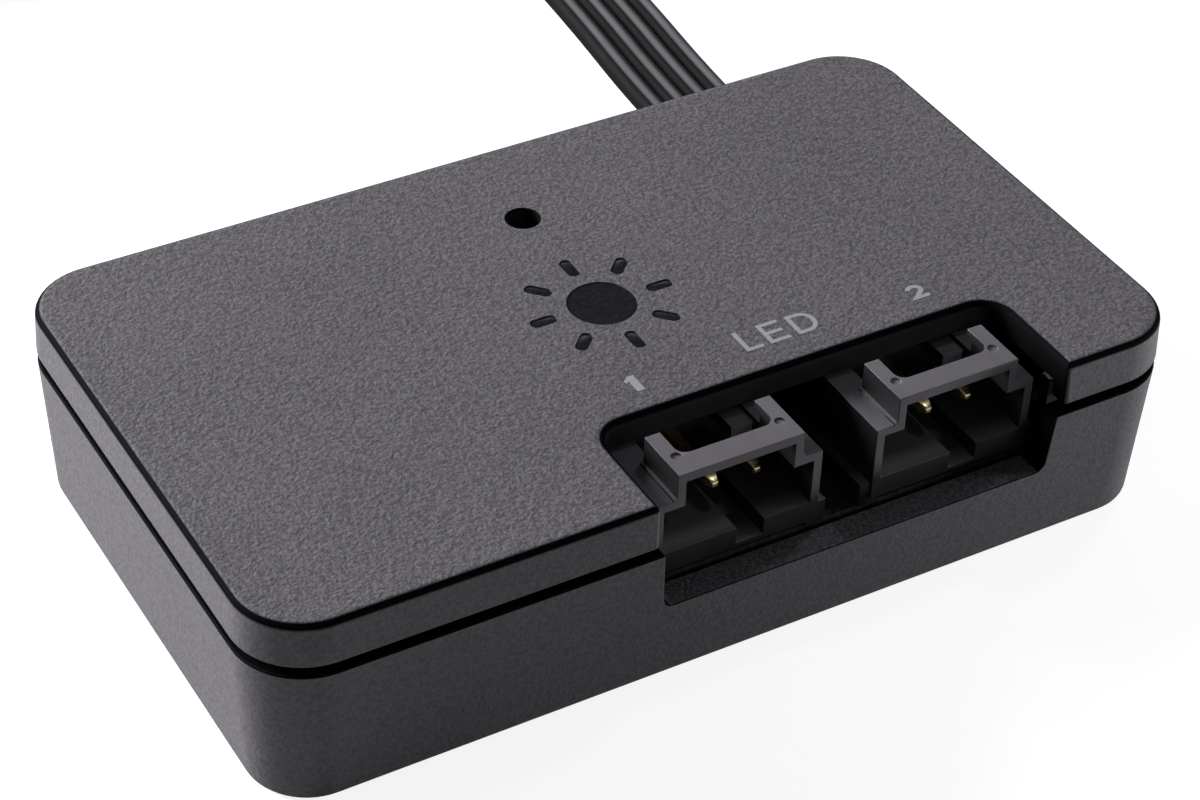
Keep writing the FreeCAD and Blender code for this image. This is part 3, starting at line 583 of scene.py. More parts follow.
@dataclass(frozen=True)
class GlossInlay(Finish):
    """Smooth glossy dark inlay."""

    level: float = 0.006
    tint: float = 0.1
    spread: Point = (1.0, 3.0)
    roughness: float = 0.16
    peel_mm: float = 1.6
    dust_mm: float = 0.2
    dusty: Point = (0.45, 0.8)
    depth_mm: float = 0.006

    def fill(self, graph: NodeGraph) -> None:
        """Adds a faint orange-peel and fine dust to a graph.

        Args:
            graph: The graph of the finish's material.
        """
        peel = graph.noise(self.peel_mm)
        dust = graph.noise(self.dust_mm, detail=3.0, rough=0.6)
        graph.close(
            Base_Color=graph.greys(dust.between(*self.dusty), self.level, self.tint, self.spread),
            Roughness=self.roughness + dust.sway(0.1),
            Normal=graph.bump(peel, self.depth_mm),
            IOR=1.5,
        )


@dataclass(frozen=True)
class BoardMask(Finish):
    """Solder mask over faint tracks."""

    level: float = 0.02
    bare_share: float = 0.8
    green_share: float = 1.7
    blue_share: float = 1.5
    roughness: float = 0.35
    track_scale: float = 380.0
    track_shade: float = 0.7
    track_height: float = 0.6
    weave_mm: float = 0.6
    depth_mm: float = 0.03

    def fill(self, graph: NodeGraph) -> None:
        """Adds a track pattern and the weave under the mask to a graph.

        Args:
            graph: The graph of the finish's material.
        """
        tracks = graph.add(
            "ShaderNodeTexBrick", {"offset": 0.5, "squash": 1.0},
            {
                "Vector": graph.place(), "Scale": self.track_scale, "Mortar Size": 0.06, "Mortar Smooth": 0.2,
                "Color1": grey(0.0), "Color2": grey(0.2), "Mortar": grey(1.0),
            },
            output="Fac",
        )
        weave = graph.noise(self.weave_mm)
        covered = (self.level, self.level * self.green_share, self.level * self.blue_share, 1.0)
        share = tracks * self.track_shade + weave * (1 - self.track_shade)
        height = tracks * self.track_height + weave * (1 - self.track_height)
        graph.close(
            Base_Color=graph.blend(share, grey(self.level * self.bare_share), covered),
            Roughness=self.roughness + weave.sway(0.15),
            Normal=graph.bump(height, self.depth_mm),
        )


@dataclass(frozen=True)
class SmallPartCeramic(Finish):
    """Speckled ceramic or resin of a small board part."""

    colour: Colour = (0.3, 0.24, 0.16, 1.0)
    roughness: float = 0.45
    dark_share: float = 0.6
    speck_mm: float = 0.25
    depth_mm: float = 0.008

    def fill(self, graph: NodeGraph) -> None:
        """Adds speckle to a graph.

        Args:
            graph: The graph of the finish's material.
        """
        speck = graph.noise(self.speck_mm, detail=3.0, rough=0.6)
        graph.close(
            Base_Color=graph.blend(speck, dimmed(self.colour, self.dark_share), self.colour),
            Roughness=self.roughness + speck.sway(0.2),
            Normal=graph.bump(speck, self.depth_mm),
        )


class Finishes:
    """The finishes of this object, by piece."""

    case = PebbledPlastic("case_grain_painted_shade", "case_plastic")
    nylon = OutletNylon("outlet_nylon_painted_shade", "outlet_nylon")
    gold = PlatedMetal("gold_plate_bright", "gold_plate")
    pin = PlatedMetal("pin_gold_flash", "gold_plate", (1.0, 0.84, 0.48, 1.0), 0.3)
    tin = PlatedMetal("tin_bright", "tinned_lead", (0.72, 0.72, 0.7, 1.0), 0.28)
    screw = PlatedMetal("screw_zinc", "screw_steel", (0.62, 0.62, 0.6, 1.0), 0.3)
    socket = PlatedMetal("socket_nickel", "socket_steel", (0.72, 0.71, 0.69, 1.0), 0.25)
    vinyl = CoverVinyl("lead_vinyl_painted_highlight", "lead_cover")
    grip = MouldedNylon("grip_vinyl", "grip_rubber", level=0.018, tint=0.03, roughness=0.5)
    tie = MouldedNylon("tie_nylon", "tie_plastic", level=0.02, tint=0.03, roughness=0.4)
    plug = MouldedNylon("plug_nylon", "plug_plastic", level=0.018, tint=0.03, roughness=0.42)
    insert = MouldedNylon("socket_nylon", "socket_resin", level=0.012, tint=0.03, roughness=0.5)
    chip = MouldedNylon("chip_epoxy", "chip_resin", level=0.022, tint=0.02, roughness=0.55)
    board = BoardMask("board_mask", "board_laminate")
    ceramic = SmallPartCeramic("small_part_ceramic", "small_parts")
    lens = SmallPartCeramic("light_lens_resin", "light_lens", (0.8, 0.82, 0.74, 1.0), 0.2)
    ink = PrintedInk("label_ink", "case_plastic")
    inlay = GlossInlay("mark_gloss", "case_plastic")


def new_piece(name: str, mesh: bpy.types.Mesh) -> bpy.types.Object:
    """An object in the scene for a mesh.

    Args:
        name: The object's name.
        mesh: Its mesh.

    Returns:
        The object.
    """
    piece = bpy.data.objects.new(name, mesh)
    bpy.context.scene.collection.objects.link(piece)
    return piece


def mesh_from(name: str, points: Sequence[Sequence[float]], faces: Sequence[Sequence[int]]) -> bpy.types.Mesh:
    """A mesh from points in millimetres.

    Args:
        name: The mesh's name.
        points: Its points.
        faces: Its faces, as point numbers.

    Returns:
        The mesh, in metres, with its faces turned outwards.
    """
    mesh = bpy.data.meshes.new(name)
    mesh.from_pydata([tuple(c * MM for c in p) for p in points], [], [tuple(f) for f in faces])
    work = bmesh.new()
    work.from_mesh(mesh)
    bmesh.ops.recalc_face_normals(work, faces=work.faces)
    work.to_mesh(mesh)
    work.free()
    return mesh


def applied(piece: bpy.types.Object) -> None:
    """Replaces a piece's mesh by what its modifiers make of it.

    Args:
        piece: The piece.
    """
    graph = bpy.context.evaluated_depsgraph_get()
    made = bpy.data.meshes.new_from_object(piece.evaluated_get(graph))
    piece.modifiers.clear()
    piece.data = made


def carve(piece: bpy.types.Object, tool: bpy.types.Object, how: Carve = Carve.CUT) -> None:
    """Cuts a tool mesh out of a piece, or joins it on, and removes the tool.

    Args:
        piece: The piece to change.
        tool: The mesh that acts on it.
        how: Cut or join.
    """
    step = piece.modifiers.new("carve", "BOOLEAN")
    step.object = tool
    step.operation = how.value
    step.solver = "EXACT"
    applied(piece)
    bpy.data.objects.remove(tool)


def soften(piece: bpy.types.Object, width_mm: float, segments: int = 2, angle: float = 40.0) -> None:
    """Rounds a piece's sharp edges.

    Args:
        piece: The piece.
        width_mm: The width of the rounding.
        segments: Its number of steps.
        angle: Only edges that turn by more than this, in degrees, are rounded.
    """
    step = piece.modifiers.new("soften", "BEVEL")
    step.width = width_mm * MM
    step.segments = segments
    step.limit_method = "ANGLE"
    step.angle_limit = math.radians(angle)
    step.use_clamp_overlap = True
    applied(piece)


def shade(piece: bpy.types.Object, angle: float = 32.0, weight: int = 80) -> None:
    """Smooth shading that keeps sharp edges and flat faces flat.

    Args:
        piece: The piece.
        angle: Edges that turn by more than this, in degrees, stay sharp.
        weight: How much more large faces count than small ones.
    """
    piece.data.shade_smooth()
    piece.data.set_sharp_from_angle(angle=math.radians(angle))
    step = piece.modifiers.new("even", "WEIGHTED_NORMAL")
    step.keep_sharp = True
    step.weight = weight
    applied(piece)


def dress(piece: bpy.types.Object, finish: Finish, replaced: Iterable[str] = ()) -> bpy.types.Object:
    """Gives a piece its finish and its body, and hides the solids that it stands for.

    Args:
        piece: The piece.
        finish: Its finish.
        replaced: Names of the solids that it stands for.

    Returns:
        The piece.
    """
    piece.data.materials.clear()
    piece.data.materials.append(finish.material())
    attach(piece, BODY)
    nodes = list(replaced)
    if nodes:
        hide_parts(*nodes)
    LOG.info("piece %s", piece.name)
    return piece


def dressed_copy(
    frame: dict, node: str, name: str, finish: Finish, width_mm: float, segments: int = 2
) -> bpy.types.Object:
    """A finished piece with the shape of a solid and rounded edges, which stands for that solid.

    Args:
        frame: The loaded frame.
        node: The solid.
        name: The piece's name.
        finish: Its finish.
        width_mm: The width of the rounding.
        segments: Its number of steps.

    Returns:
        The piece.
    """
    weld, flat_angle, edge_angle = 1e-7, 1.5, 42.0
    work = bmesh.new()
    work.from_mesh(frame["nodes"][node].data)
    bmesh.ops.remove_doubles(work, verts=work.verts, dist=weld)
    bmesh.ops.dissolve_limit(
        work, angle_limit=math.radians(flat_angle), use_dissolve_boundaries=False,
        verts=work.verts, edges=work.edges,
    )
    mesh = bpy.data.meshes.new(name)
    work.to_mesh(mesh)
    work.free()
    piece = new_piece(name, mesh)
    soften(piece, width_mm, segments, edge_angle)
    shade(piece)
    return dress(piece, finish, [node])


@dataclass(frozen=True)
class Corner:
    """A corner of an outline: its place, its rounding, and whether the edge after it leans with the draft."""

    x: float
    y: float
    radius: float
    leans: bool = True


def rectangle(x0: float, x1: float, y0: float, y1: float, radius: float) -> list[Corner]:
    """The corners of a rounded rectangle, anticlockwise."""
    return [Corner(x, y, radius) for x, y in ((x0, y0), (x1, y0), (x1, y1), (x0, y1))]


def outline(corners: Sequence[Corner], inset: float, lean: float, steps: int) -> list[Point]:
    """The points of a rounded outline, moved inwards.

    Args:
        corners: The outline's corners, anticlockwise.
        inset: How far every edge moves inwards.
        lean: How much further the edges that lean move.
        steps: Steps in each rounding.

    Returns:
        The points, as many for every inset.
    """
    count = len(corners)
    ways = []
    shifts = []
    for i, corner in enumerate(corners):
        after = corners[(i + 1) % count]
        ways.append(Vector((after.x - corner.x, after.y - corner.y)).normalized())
        shifts.append(inset + (lean if corner.leans else 0.0))
    points = []
    for i, corner in enumerate(corners):
        into = ways[i - 1]
        out = ways[i]
        turn = math.atan2(into.x * out.y - into.y * out.x, into.dot(out))
        sign = 1.0 if turn > 0 else -1.0
        place = Vector((corner.x, corner.y))
        into_left = Vector((-into.y, into.x))
        out_left = Vector((-out.y, out.x))
        place = place + into_left * shifts[i - 1] + out_left * shifts[i]
        radius = max(corner.radius - sign * (shifts[i - 1] + shifts[i]) / 2, SHARP)
        start = place - into * radius * math.tan(abs(turn) / 2)
        middle = start + into_left * sign * radius
        first = math.atan2(start.y - middle.y, start.x - middle.x)
        for k in range(steps + 1):
            angle = first + turn * k / steps
            points.append((middle.x + radius * math.cos(angle), middle.y + radius * math.sin(angle)))
    return points


def circle(x: float, y: float, radius: float, steps: int) -> list[Point]:
    """The points of a circle, anticlockwise."""
    turns = (2 * math.pi * k / steps for k in range(steps))
    return [(x + radius * math.cos(a), y + radius * math.sin(a)) for a in turns]


def shoulder(radius: float, steps: int) -> list[Point]:
    """A quarter round from upright to level, as (inward, upward) steps."""
    angles = (math.pi / 2 * k / steps for k in range(steps + 1))
    return [(radius * (1 - math.cos(a)), radius * math.sin(a)) for a in angles]


def foot(radius: float, steps: int) -> list[Point]:
    """A quarter round from level to upright, as (inward, upward) steps."""
    return [(radius - up, inward) for inward, up in shoulder(radius, steps)]


def stacked(name: str, rings: Sequence[Sequence[Sequence[float]]]) -> bpy.types.Object:
    """A closed piece through rings of points, one after the other.

    Args:
        name: The piece's name.
        rings: Rings of equal length, in millimetres.

    Returns:
        The piece.
    """
    count = len(rings[0])
    points = [p for ring in rings for p in ring]
    faces = [list(range(count))[::-1], list(range((len(rings) - 1) * count, len(rings) * count))]
    for level in range(len(rings) - 1):
        low = level * count
        high = low + count
        for i in range(count):
            j = (i + 1) % count
            faces.append([low + i, low + j, high + j, high + i])
    return new_piece(name, mesh_from(name, points, faces))


def prism(name: str, points: Sequence[Point], low: float, high: float) -> bpy.types.Object:
    """A straight upright prism on an outline."""
    return stacked(name, [[(x, y, z) for x, y in points] for z in (low, high)])


def box_tool(x0: float, x1: float, y0: float, y1: float, z0: float, z1: float) -> bpy.types.Object:
    """A box to carve with, in millimetres."""
    return prism("tool", [(x0, y0), (x1, y0), (x1, y1), (x0, y1)], z0, z1)


@dataclass
class CaseSizes:
    """Sizes that the lid and the tray share, in millimetres."""

    length: float = 54.0
    width: float = 31.6
    height: float = 11.938
    corner: float = 3.88
    rim: float = 8.74
    lid_bottom: float = 9.34
    lid_under: float = 10.35
    skirt: float = 1.0
    lip_outer: float = 1.1
    wall: float = 1.9
    notch_left: float = -5.625
    notch_right: float = 18.925
    notch_depth: float = 6.9
    corner_steps: int = 14
    smooth_angle: float = 38.0

    def corners(self) -> list[Corner]:
        """The plain case outline.

        Returns:
            Its corners, anticlockwise.
        """
        a = self.length / 2
        b = self.width / 2
        return rectangle(-a, a, -b, b, self.corner)

    def slab(self, inset: float, low: float, high: float) -> bpy.types.Object:
        """A straight-sided slab inset from the case outline."""
        return prism("tool", outline(self.corners(), inset, 0.0, self.corner_steps), low, high)

    def drafted(self, name: str, corners: Sequence[Corner], levels: Iterable[Place]) -> bpy.types.Object:
        """A closed block whose walls lean.

        Args:
            name: The piece's name.
            corners: Its outline.
            levels: The inset of each ring, the further inset of its leaning edges, and its height.

        Returns:
            The piece.
        """
        return stacked(name, [
            [(x, y, z) for x, y in outline(corners, inset, lean, self.corner_steps)] for inset, lean, z in levels
        ])


@dataclass
class Mark:
    """A plain sun sign let into the lid, above the light strips' outlets."""

    x: float = 0.0
    y: float = 0.1
    disc: float = 1.9
    disc_steps: int = 56
    ray_from: float = 2.75
    ray_to: float = 4.3
    ray_half: float = 0.36
    ray_round: float = 0.342
    ray_steps: int = 6
    rays: int = 8
    depth: float = 0.1
    sunk: float = 0.05
    root: float = 0.05
    edge_round: float = 0.03

    def shapes(self) -> list[list[Point]]:
        """The outlines of the disc and the rays.

        Returns:
            The disc's points, and then those of each ray.
        """
        found = [circle(self.x, self.y, self.disc, self.disc_steps)]
        bar = rectangle(self.ray_from, self.ray_to, -self.ray_half, self.ray_half, self.ray_round)
        points = outline(bar, 0.0, 0.0, self.ray_steps)
        for ray in range(self.rays):
            turn = Matrix.Rotation(2 * math.pi * ray / self.rays, 2)
            found.append([(self.x + p.x, self.y + p.y) for p in (turn @ Vector(q) for q in points)])
        return found

    def recess(self, lid: bpy.types.Object, top: float) -> None:
        """Cuts the sign into the lid."""
        for shape in self.shapes():
            carve(lid, prism("tool", shape, top - self.depth, top + THROUGH))

    def build(self, top: float) -> None:
        """Makes the glossy pieces that lie in the recess.

        Args:
            top: The height of the lid's top.
        """
        for number, shape in enumerate(self.shapes()):
            piece = prism(f"mark_inlay_{number}", shape, top - self.depth - self.root, top - self.sunk)
            soften(piece, self.edge_round)
            shade(piece)
            dress(piece, Finishes.inlay)


@dataclass
class Lid:
    """The lid with its outlet notch, light hole and rounded edges."""

    case: CaseSizes = field(default_factory=CaseSizes)
    mark: Mark = field(default_factory=Mark)
    draft: float = 0.11
    edge_round: float = 0.4
    edge_steps: int = 7
    seam_round: float = 0.12
    mouth_round: float = 0.3
    rear_round: float = 1.6
    hole_y: float = 8.84
    hole_radius: float = 0.9
    hole_flare: float = 0.16
    hole_steps: int = 48
    chimney_low: float = 6.6
    chimney_radius: float = 1.7
    chimney_root: float = 0.3
    chimney_steps: int = 32

    def corners(self) -> list[Corner]:
        """The lid from above, anticlockwise from its left outlet-side corner.

        Returns:
            Its corners.
        """
        a = self.case.length / 2
        b = self.case.width / 2
        left = self.case.notch_left
        right = self.case.notch_right
        rear = -b + self.case.notch_depth
        return [
            Corner(-a, -b, self.case.corner),
            Corner(left, -b, self.mouth_round, False),
            Corner(left, rear, self.rear_round, False),
            Corner(right, rear, self.rear_round, False),
            Corner(right, -b, self.mouth_round),
            Corner(a, -b, self.case.corner),
            Corner(a, b, self.case.corner),
            Corner(-a, b, self.case.corner),
        ]

    def skin(self) -> bpy.types.Object:
        """The lid's outside as a closed block.

        Returns:
            The piece, not yet hollow.
        """
        top = self.case.height
        bottom = self.case.lid_bottom
        levels = [(inward, bottom + up) for inward, up in foot(self.seam_round, FINE_STEPS)]
        levels.append((0.0, bottom + self.seam_round + WALL_RING))
        levels.append((0.0, top - self.edge_round - WALL_RING))
        levels += [
            (inward, top - self.edge_round + up)
            for inward, up in shoulder(self.edge_round, self.edge_steps)
        ]
        levels.append((self.edge_round + FLAT_RING, top))
        leaning = [(inset, self.draft * (z - bottom) / (top - bottom), z) for inset, z in levels]
        return self.case.drafted("lid_shell", self.corners(), leaning)

    def light_hole(self) -> bpy.types.Object:
        """The tool that makes the light hole, with a flared mouth.

        Returns:
            The tool.
        """
        top = self.case.height
        levels = [(self.hole_radius, self.chimney_low - THROUGH)]
        levels += [
            (self.hole_radius + outward, top - self.hole_flare + up)
            for outward, up in shoulder(self.hole_flare, FINE_STEPS)
        ]
        levels.append((self.hole_radius + self.hole_flare, top + THROUGH))
        return stacked("tool", [
            [(x, y, z) for x, y in circle(0.0, self.hole_y, radius, self.hole_steps)] for radius, z in levels
        ])

    def build(self) -> None:
        """Makes the lid."""
        lid = self.skin()
        carve(lid, self.case.slab(self.case.skirt, self.case.lid_bottom - THROUGH, self.case.lid_under))
        chimney = circle(0.0, self.hole_y, self.chimney_radius, self.chimney_steps)
        roots = self.case.lid_under + self.chimney_root
        carve(lid, prism("tool", chimney, self.chimney_low, roots), Carve.JOIN)
        carve(lid, self.light_hole())
        self.mark.recess(lid, self.case.height)
        shade(lid, self.case.smooth_angle)
        dress(lid, Finishes.case, ["lid"])
        self.mark.build(self.case.height)


@dataclass
class Tray:
    """The tray: a drafted tub with a raised lip and three openings."""

    case: CaseSizes = field(default_factory=CaseSizes)
    draft: float = 0.46
    foot_round: float = 0.5
    foot_steps: int = 6
    rim_round: float = 0.12
    lip_foot: float = 0.05
    lip_round: float = 0.06
    lip_gap: float = 0.01
    floor: float = 1.6
    notch_middle: float = 6.65
    notch_low_half: float = 11.75
    notch_high_half: float = 12.095
    notch_floor: float = 5.0
    notch_round: float = 0.6
    notch_steps: int = 6
    grip_left: float = 13.31
    grip_right: float = 20.89
    grip_low: float = 6.4
    socket_left: float = -14.15
    socket_right: float = -5.85
    socket_low: float = 4.9
    behind_wall: float = 0.5
    cut_round: float = 0.12
    cut_steps: int = 3
    cut_angle: float = 50.0

    def skin(self) -> bpy.types.Object:
        """The tray's outside, with the lip, as a closed block.

        Returns:
            The piece, not yet hollow.
        """
        rim = self.case.rim
        lip = self.case.lip_outer
        lip_top = self.case.lid_under - self.lip_gap
        levels = [(self.foot_round + FLAT_RING, 0.0)]
        levels += foot(self.foot_round, self.foot_steps)
        levels.append((0.0, self.foot_round + WALL_RING))
        levels.append((0.0, rim - self.rim_round - WALL_RING))
        levels += [(inward, rim - self.rim_round + up) for inward, up in shoulder(self.rim_round, FINE_STEPS)]
        levels.append((lip - self.lip_foot, rim))
        levels.append((lip, rim + self.lip_foot))
        levels.append((lip, self.case.lid_under - self.lip_round))
        levels.append((lip + self.lip_round, lip_top))
        leaning = [(inset, self.draft * max(0.0, (rim - z) / rim), z) for inset, z in levels]
        return self.case.drafted("tray_shell", self.case.corners(), leaning)

    def notch_tool(self) -> bpy.types.Object:
        """The tool that opens the outlet side.

        Returns:
            The tool.
        """
        top = self.case.lid_under + THROUGH
        section = outline(
            [
                Corner(self.notch_middle - self.notch_low_half, self.notch_floor, self.notch_round),
                Corner(self.notch_middle + self.notch_low_half, self.notch_floor, self.notch_round),
                Corner(self.notch_middle + self.notch_high_half, top, SHARP),
                Corner(self.notch_middle - self.notch_high_half, top, SHARP),
            ],
            0.0, 0.0, self.notch_steps,
        )
        front = -self.case.width / 2
        places = (front - THROUGH, front + self.case.wall + THROUGH)
        return stacked("tool", [[(x, y, z) for x, z in section] for y in places])

    def build(self) -> None:
        """Makes the tray."""
        tray = self.skin()
        back = self.case.width / 2
        top = self.case.lid_under + THROUGH
        carve(tray, self.case.slab(self.case.wall, self.floor, top))
        carve(tray, self.notch_tool())
        inside = back - self.case.wall - self.behind_wall
        for left, right, low in (
            (self.grip_left, self.grip_right, self.grip_low),
            (self.socket_left, self.socket_right, self.socket_low),
        ):
            carve(tray, box_tool(left, right, inside, back + THROUGH, low, top))
        soften(tray, self.cut_round, self.cut_steps, self.cut_angle)
        shade(tray, self.case.smooth_angle)
        dress(tray, Finishes.case, ["tray"])


@dataclass
class Outlet:
    """One latched light strip outlet: a shroud and three pins."""

    number: int
    edge_round: float = 0.09
    pin_round: float = 0.07

    def build(self, frame: dict) -> None:
        """Makes the outlet.

        Args:
            frame: The loaded frame.
        """
        name = f"outlet_{self.number}"
        dressed_copy(frame, f"{name}_shroud", f"{name}_shell", Finishes.nylon, self.edge_round)
        for kind in ("supply", "data", "ground"):
            dressed_copy(frame, f"{name}_{kind}_pin", f"{name}_{kind}_blade", Finishes.pin, self.pin_round)


@dataclass(frozen=True)
class Letter:
    """One printed letter on the lid: the box that it fills and the width of its strokes."""

    name: str
    left: float
    right: float
    low: float
    high: float
    stroke: float = 0.25
    thickness: float = 0.03

    def shape(self) -> list[Point]:
        """The letter's outer outline."""
        raise NotImplementedError

    def hollow(self) -> list[Point]:
        """The outline of the letter's closed hollow, if it has one."""
        return []

    def build(self, top: float) -> None:
        """Makes the letter.

        Args:
            top: The height of the printed face.
        """
        piece = prism(self.name, self.shape(), top - self.thickness, top)
        inner = self.hollow()
        if inner:
            carve(piece, prism("tool", inner, top - THROUGH, top + THROUGH))
        dress(piece, Finishes.ink)


class LetterL(Letter):
    """An upright stroke and a foot."""

    def shape(self) -> list[Point]:
        """The letter's outer outline.

        Returns:
            Its points.
        """
        x = self.left + self.stroke
        y = self.low + self.stroke
        return [
            (self.left, self.low), (self.right, self.low), (self.right, y),
            (x, y), (x, self.high), (self.left, self.high),
        ]


class LetterE(Letter):
    """An upright stroke and three arms, the middle one a little shorter."""

    def shape(self) -> list[Point]:
        """The letter's outer outline.

        Returns:
            Its points.
        """
        shorter = 0.4
        x = self.left + self.stroke
        short = self.right - shorter * self.stroke
        middle = (self.low + self.high) / 2
        half = self.stroke / 2
        return [
            (self.left, self.low), (self.right, self.low), (self.right, self.low + self.stroke),
            (x, self.low + self.stroke), (x, middle - half), (short, middle - half), (short, middle + half),
            (x, middle + half), (x, self.high - self.stroke), (self.right, self.high - self.stroke),
            (self.right, self.high), (self.left, self.high),
        ]


class LetterD(Letter):
    """An upright stroke and a bow."""

    def bow(self, inset: float) -> list[Point]:
        """The letter's outline, moved inwards.

        Args:
            inset: How far it moves.

        Returns:
            Its points.
        """
        roundness, steps = 0.48, 10
        radius = (self.high - self.low) * roundness
        return outline(
            [
                Corner(self.left, self.low, SHARP), Corner(self.right, self.low, radius),
                Corner(self.right, self.high, radius), Corner(self.left, self.high, SHARP),
            ],
            inset, 0.0, steps,
        )

    def shape(self) -> list[Point]:
        """The letter's outer outline."""
        return self.bow(0.0)

    def hollow(self) -> list[Point]:
        """The outline of the bow's inside."""
        return self.bow(self.stroke)


class DigitOne(Letter):
    """A broad upright stroke with a flag."""

    def shape(self) -> list[Point]:
        """The digit's outer outline.

        Returns:
            Its points.
        """
        drop, tip, slant, neck = 0.26, 0.24, 0.1, 0.12
        stem = self.right - self.stroke
        flag = self.high - drop
        return [
            (stem, self.low), (self.right, self.low), (self.right, self.high), (stem + slant, self.high),
            (self.left, flag), (self.left + slant, flag - tip), (stem, flag - neck),
        ]


class DigitTwo(Letter):
    """A bow, a slanting stroke and a foot."""

    def middle_line(self) -> list[Vector]:
        """The middle of the digit's stroke, from the bow's start to the foot's end.

        Returns:
            Points along it.
        """
        margin, shift, flatness, heel = 0.03, 0.02, 0.8, 0.12
        first_angle, step_angle, steps = 165, 13, 16
        half = self.stroke / 2
        bow = (self.right - self.left) / 2 - half - margin
        x = (self.left + self.right) / 2 - shift
        y = self.high - half - bow * flatness
        turns = [math.radians(first_angle - step_angle * k) for k in range(steps)]
        line = [Vector((x + bow * math.cos(a), y + bow * flatness * math.sin(a))) for a in turns]
        line.append(Vector((self.left + half + heel, self.low + half)))
        line.append(Vector((self.right, self.low + half)))
        return line

    def shape(self) -> list[Point]:
        """The digit's outer outline.

        Returns:
            Its points.
        """
        least = 0.35
        line = self.middle_line()
        sides: tuple[list[Vector], list[Vector]] = ([], [])
        for i, place in enumerate(line):
            before = (place - line[i - 1]).normalized() if i else (line[1] - place).normalized()
            after = (line[i + 1] - place).normalized() if i + 1 < len(line) else before
            across = Vector((-before.y - after.y, before.x + after.x)).normalized()
            reach = self.stroke / 2 / max(least, across.dot(Vector((-before.y, before.x))))
            sides[0].append(place - across * reach)
            sides[1].append(place + across * reach)
        return [(p.x, p.y) for p in sides[0] + sides[1][::-1]][::-1]


@dataclass
class Labels:
    """The printed signs beside the outlets."""

    top: float = 11.95
    letters: tuple[Letter, ...] = (
        DigitOne("label_one", left=-2.36, right=-1.65, low=-7.3, high=-6.0, stroke=0.44),
        LetterL("label_led_first", left=4.68, right=5.73, low=-7.04, high=-5.33),
        LetterE("label_led_middle", left=6.15, right=7.42, low=-7.02, high=-5.33),
        LetterD("label_led_last", left=7.9, right=9.36, low=-7.03, high=-5.38),
        DigitTwo("label_two", left=14.92, right=16.03, low=-7.3, high=-6.08, stroke=0.27),
    )

    def build(self) -> None:
        """Makes the signs."""
        for letter in self.letters:
            letter.build(self.top)


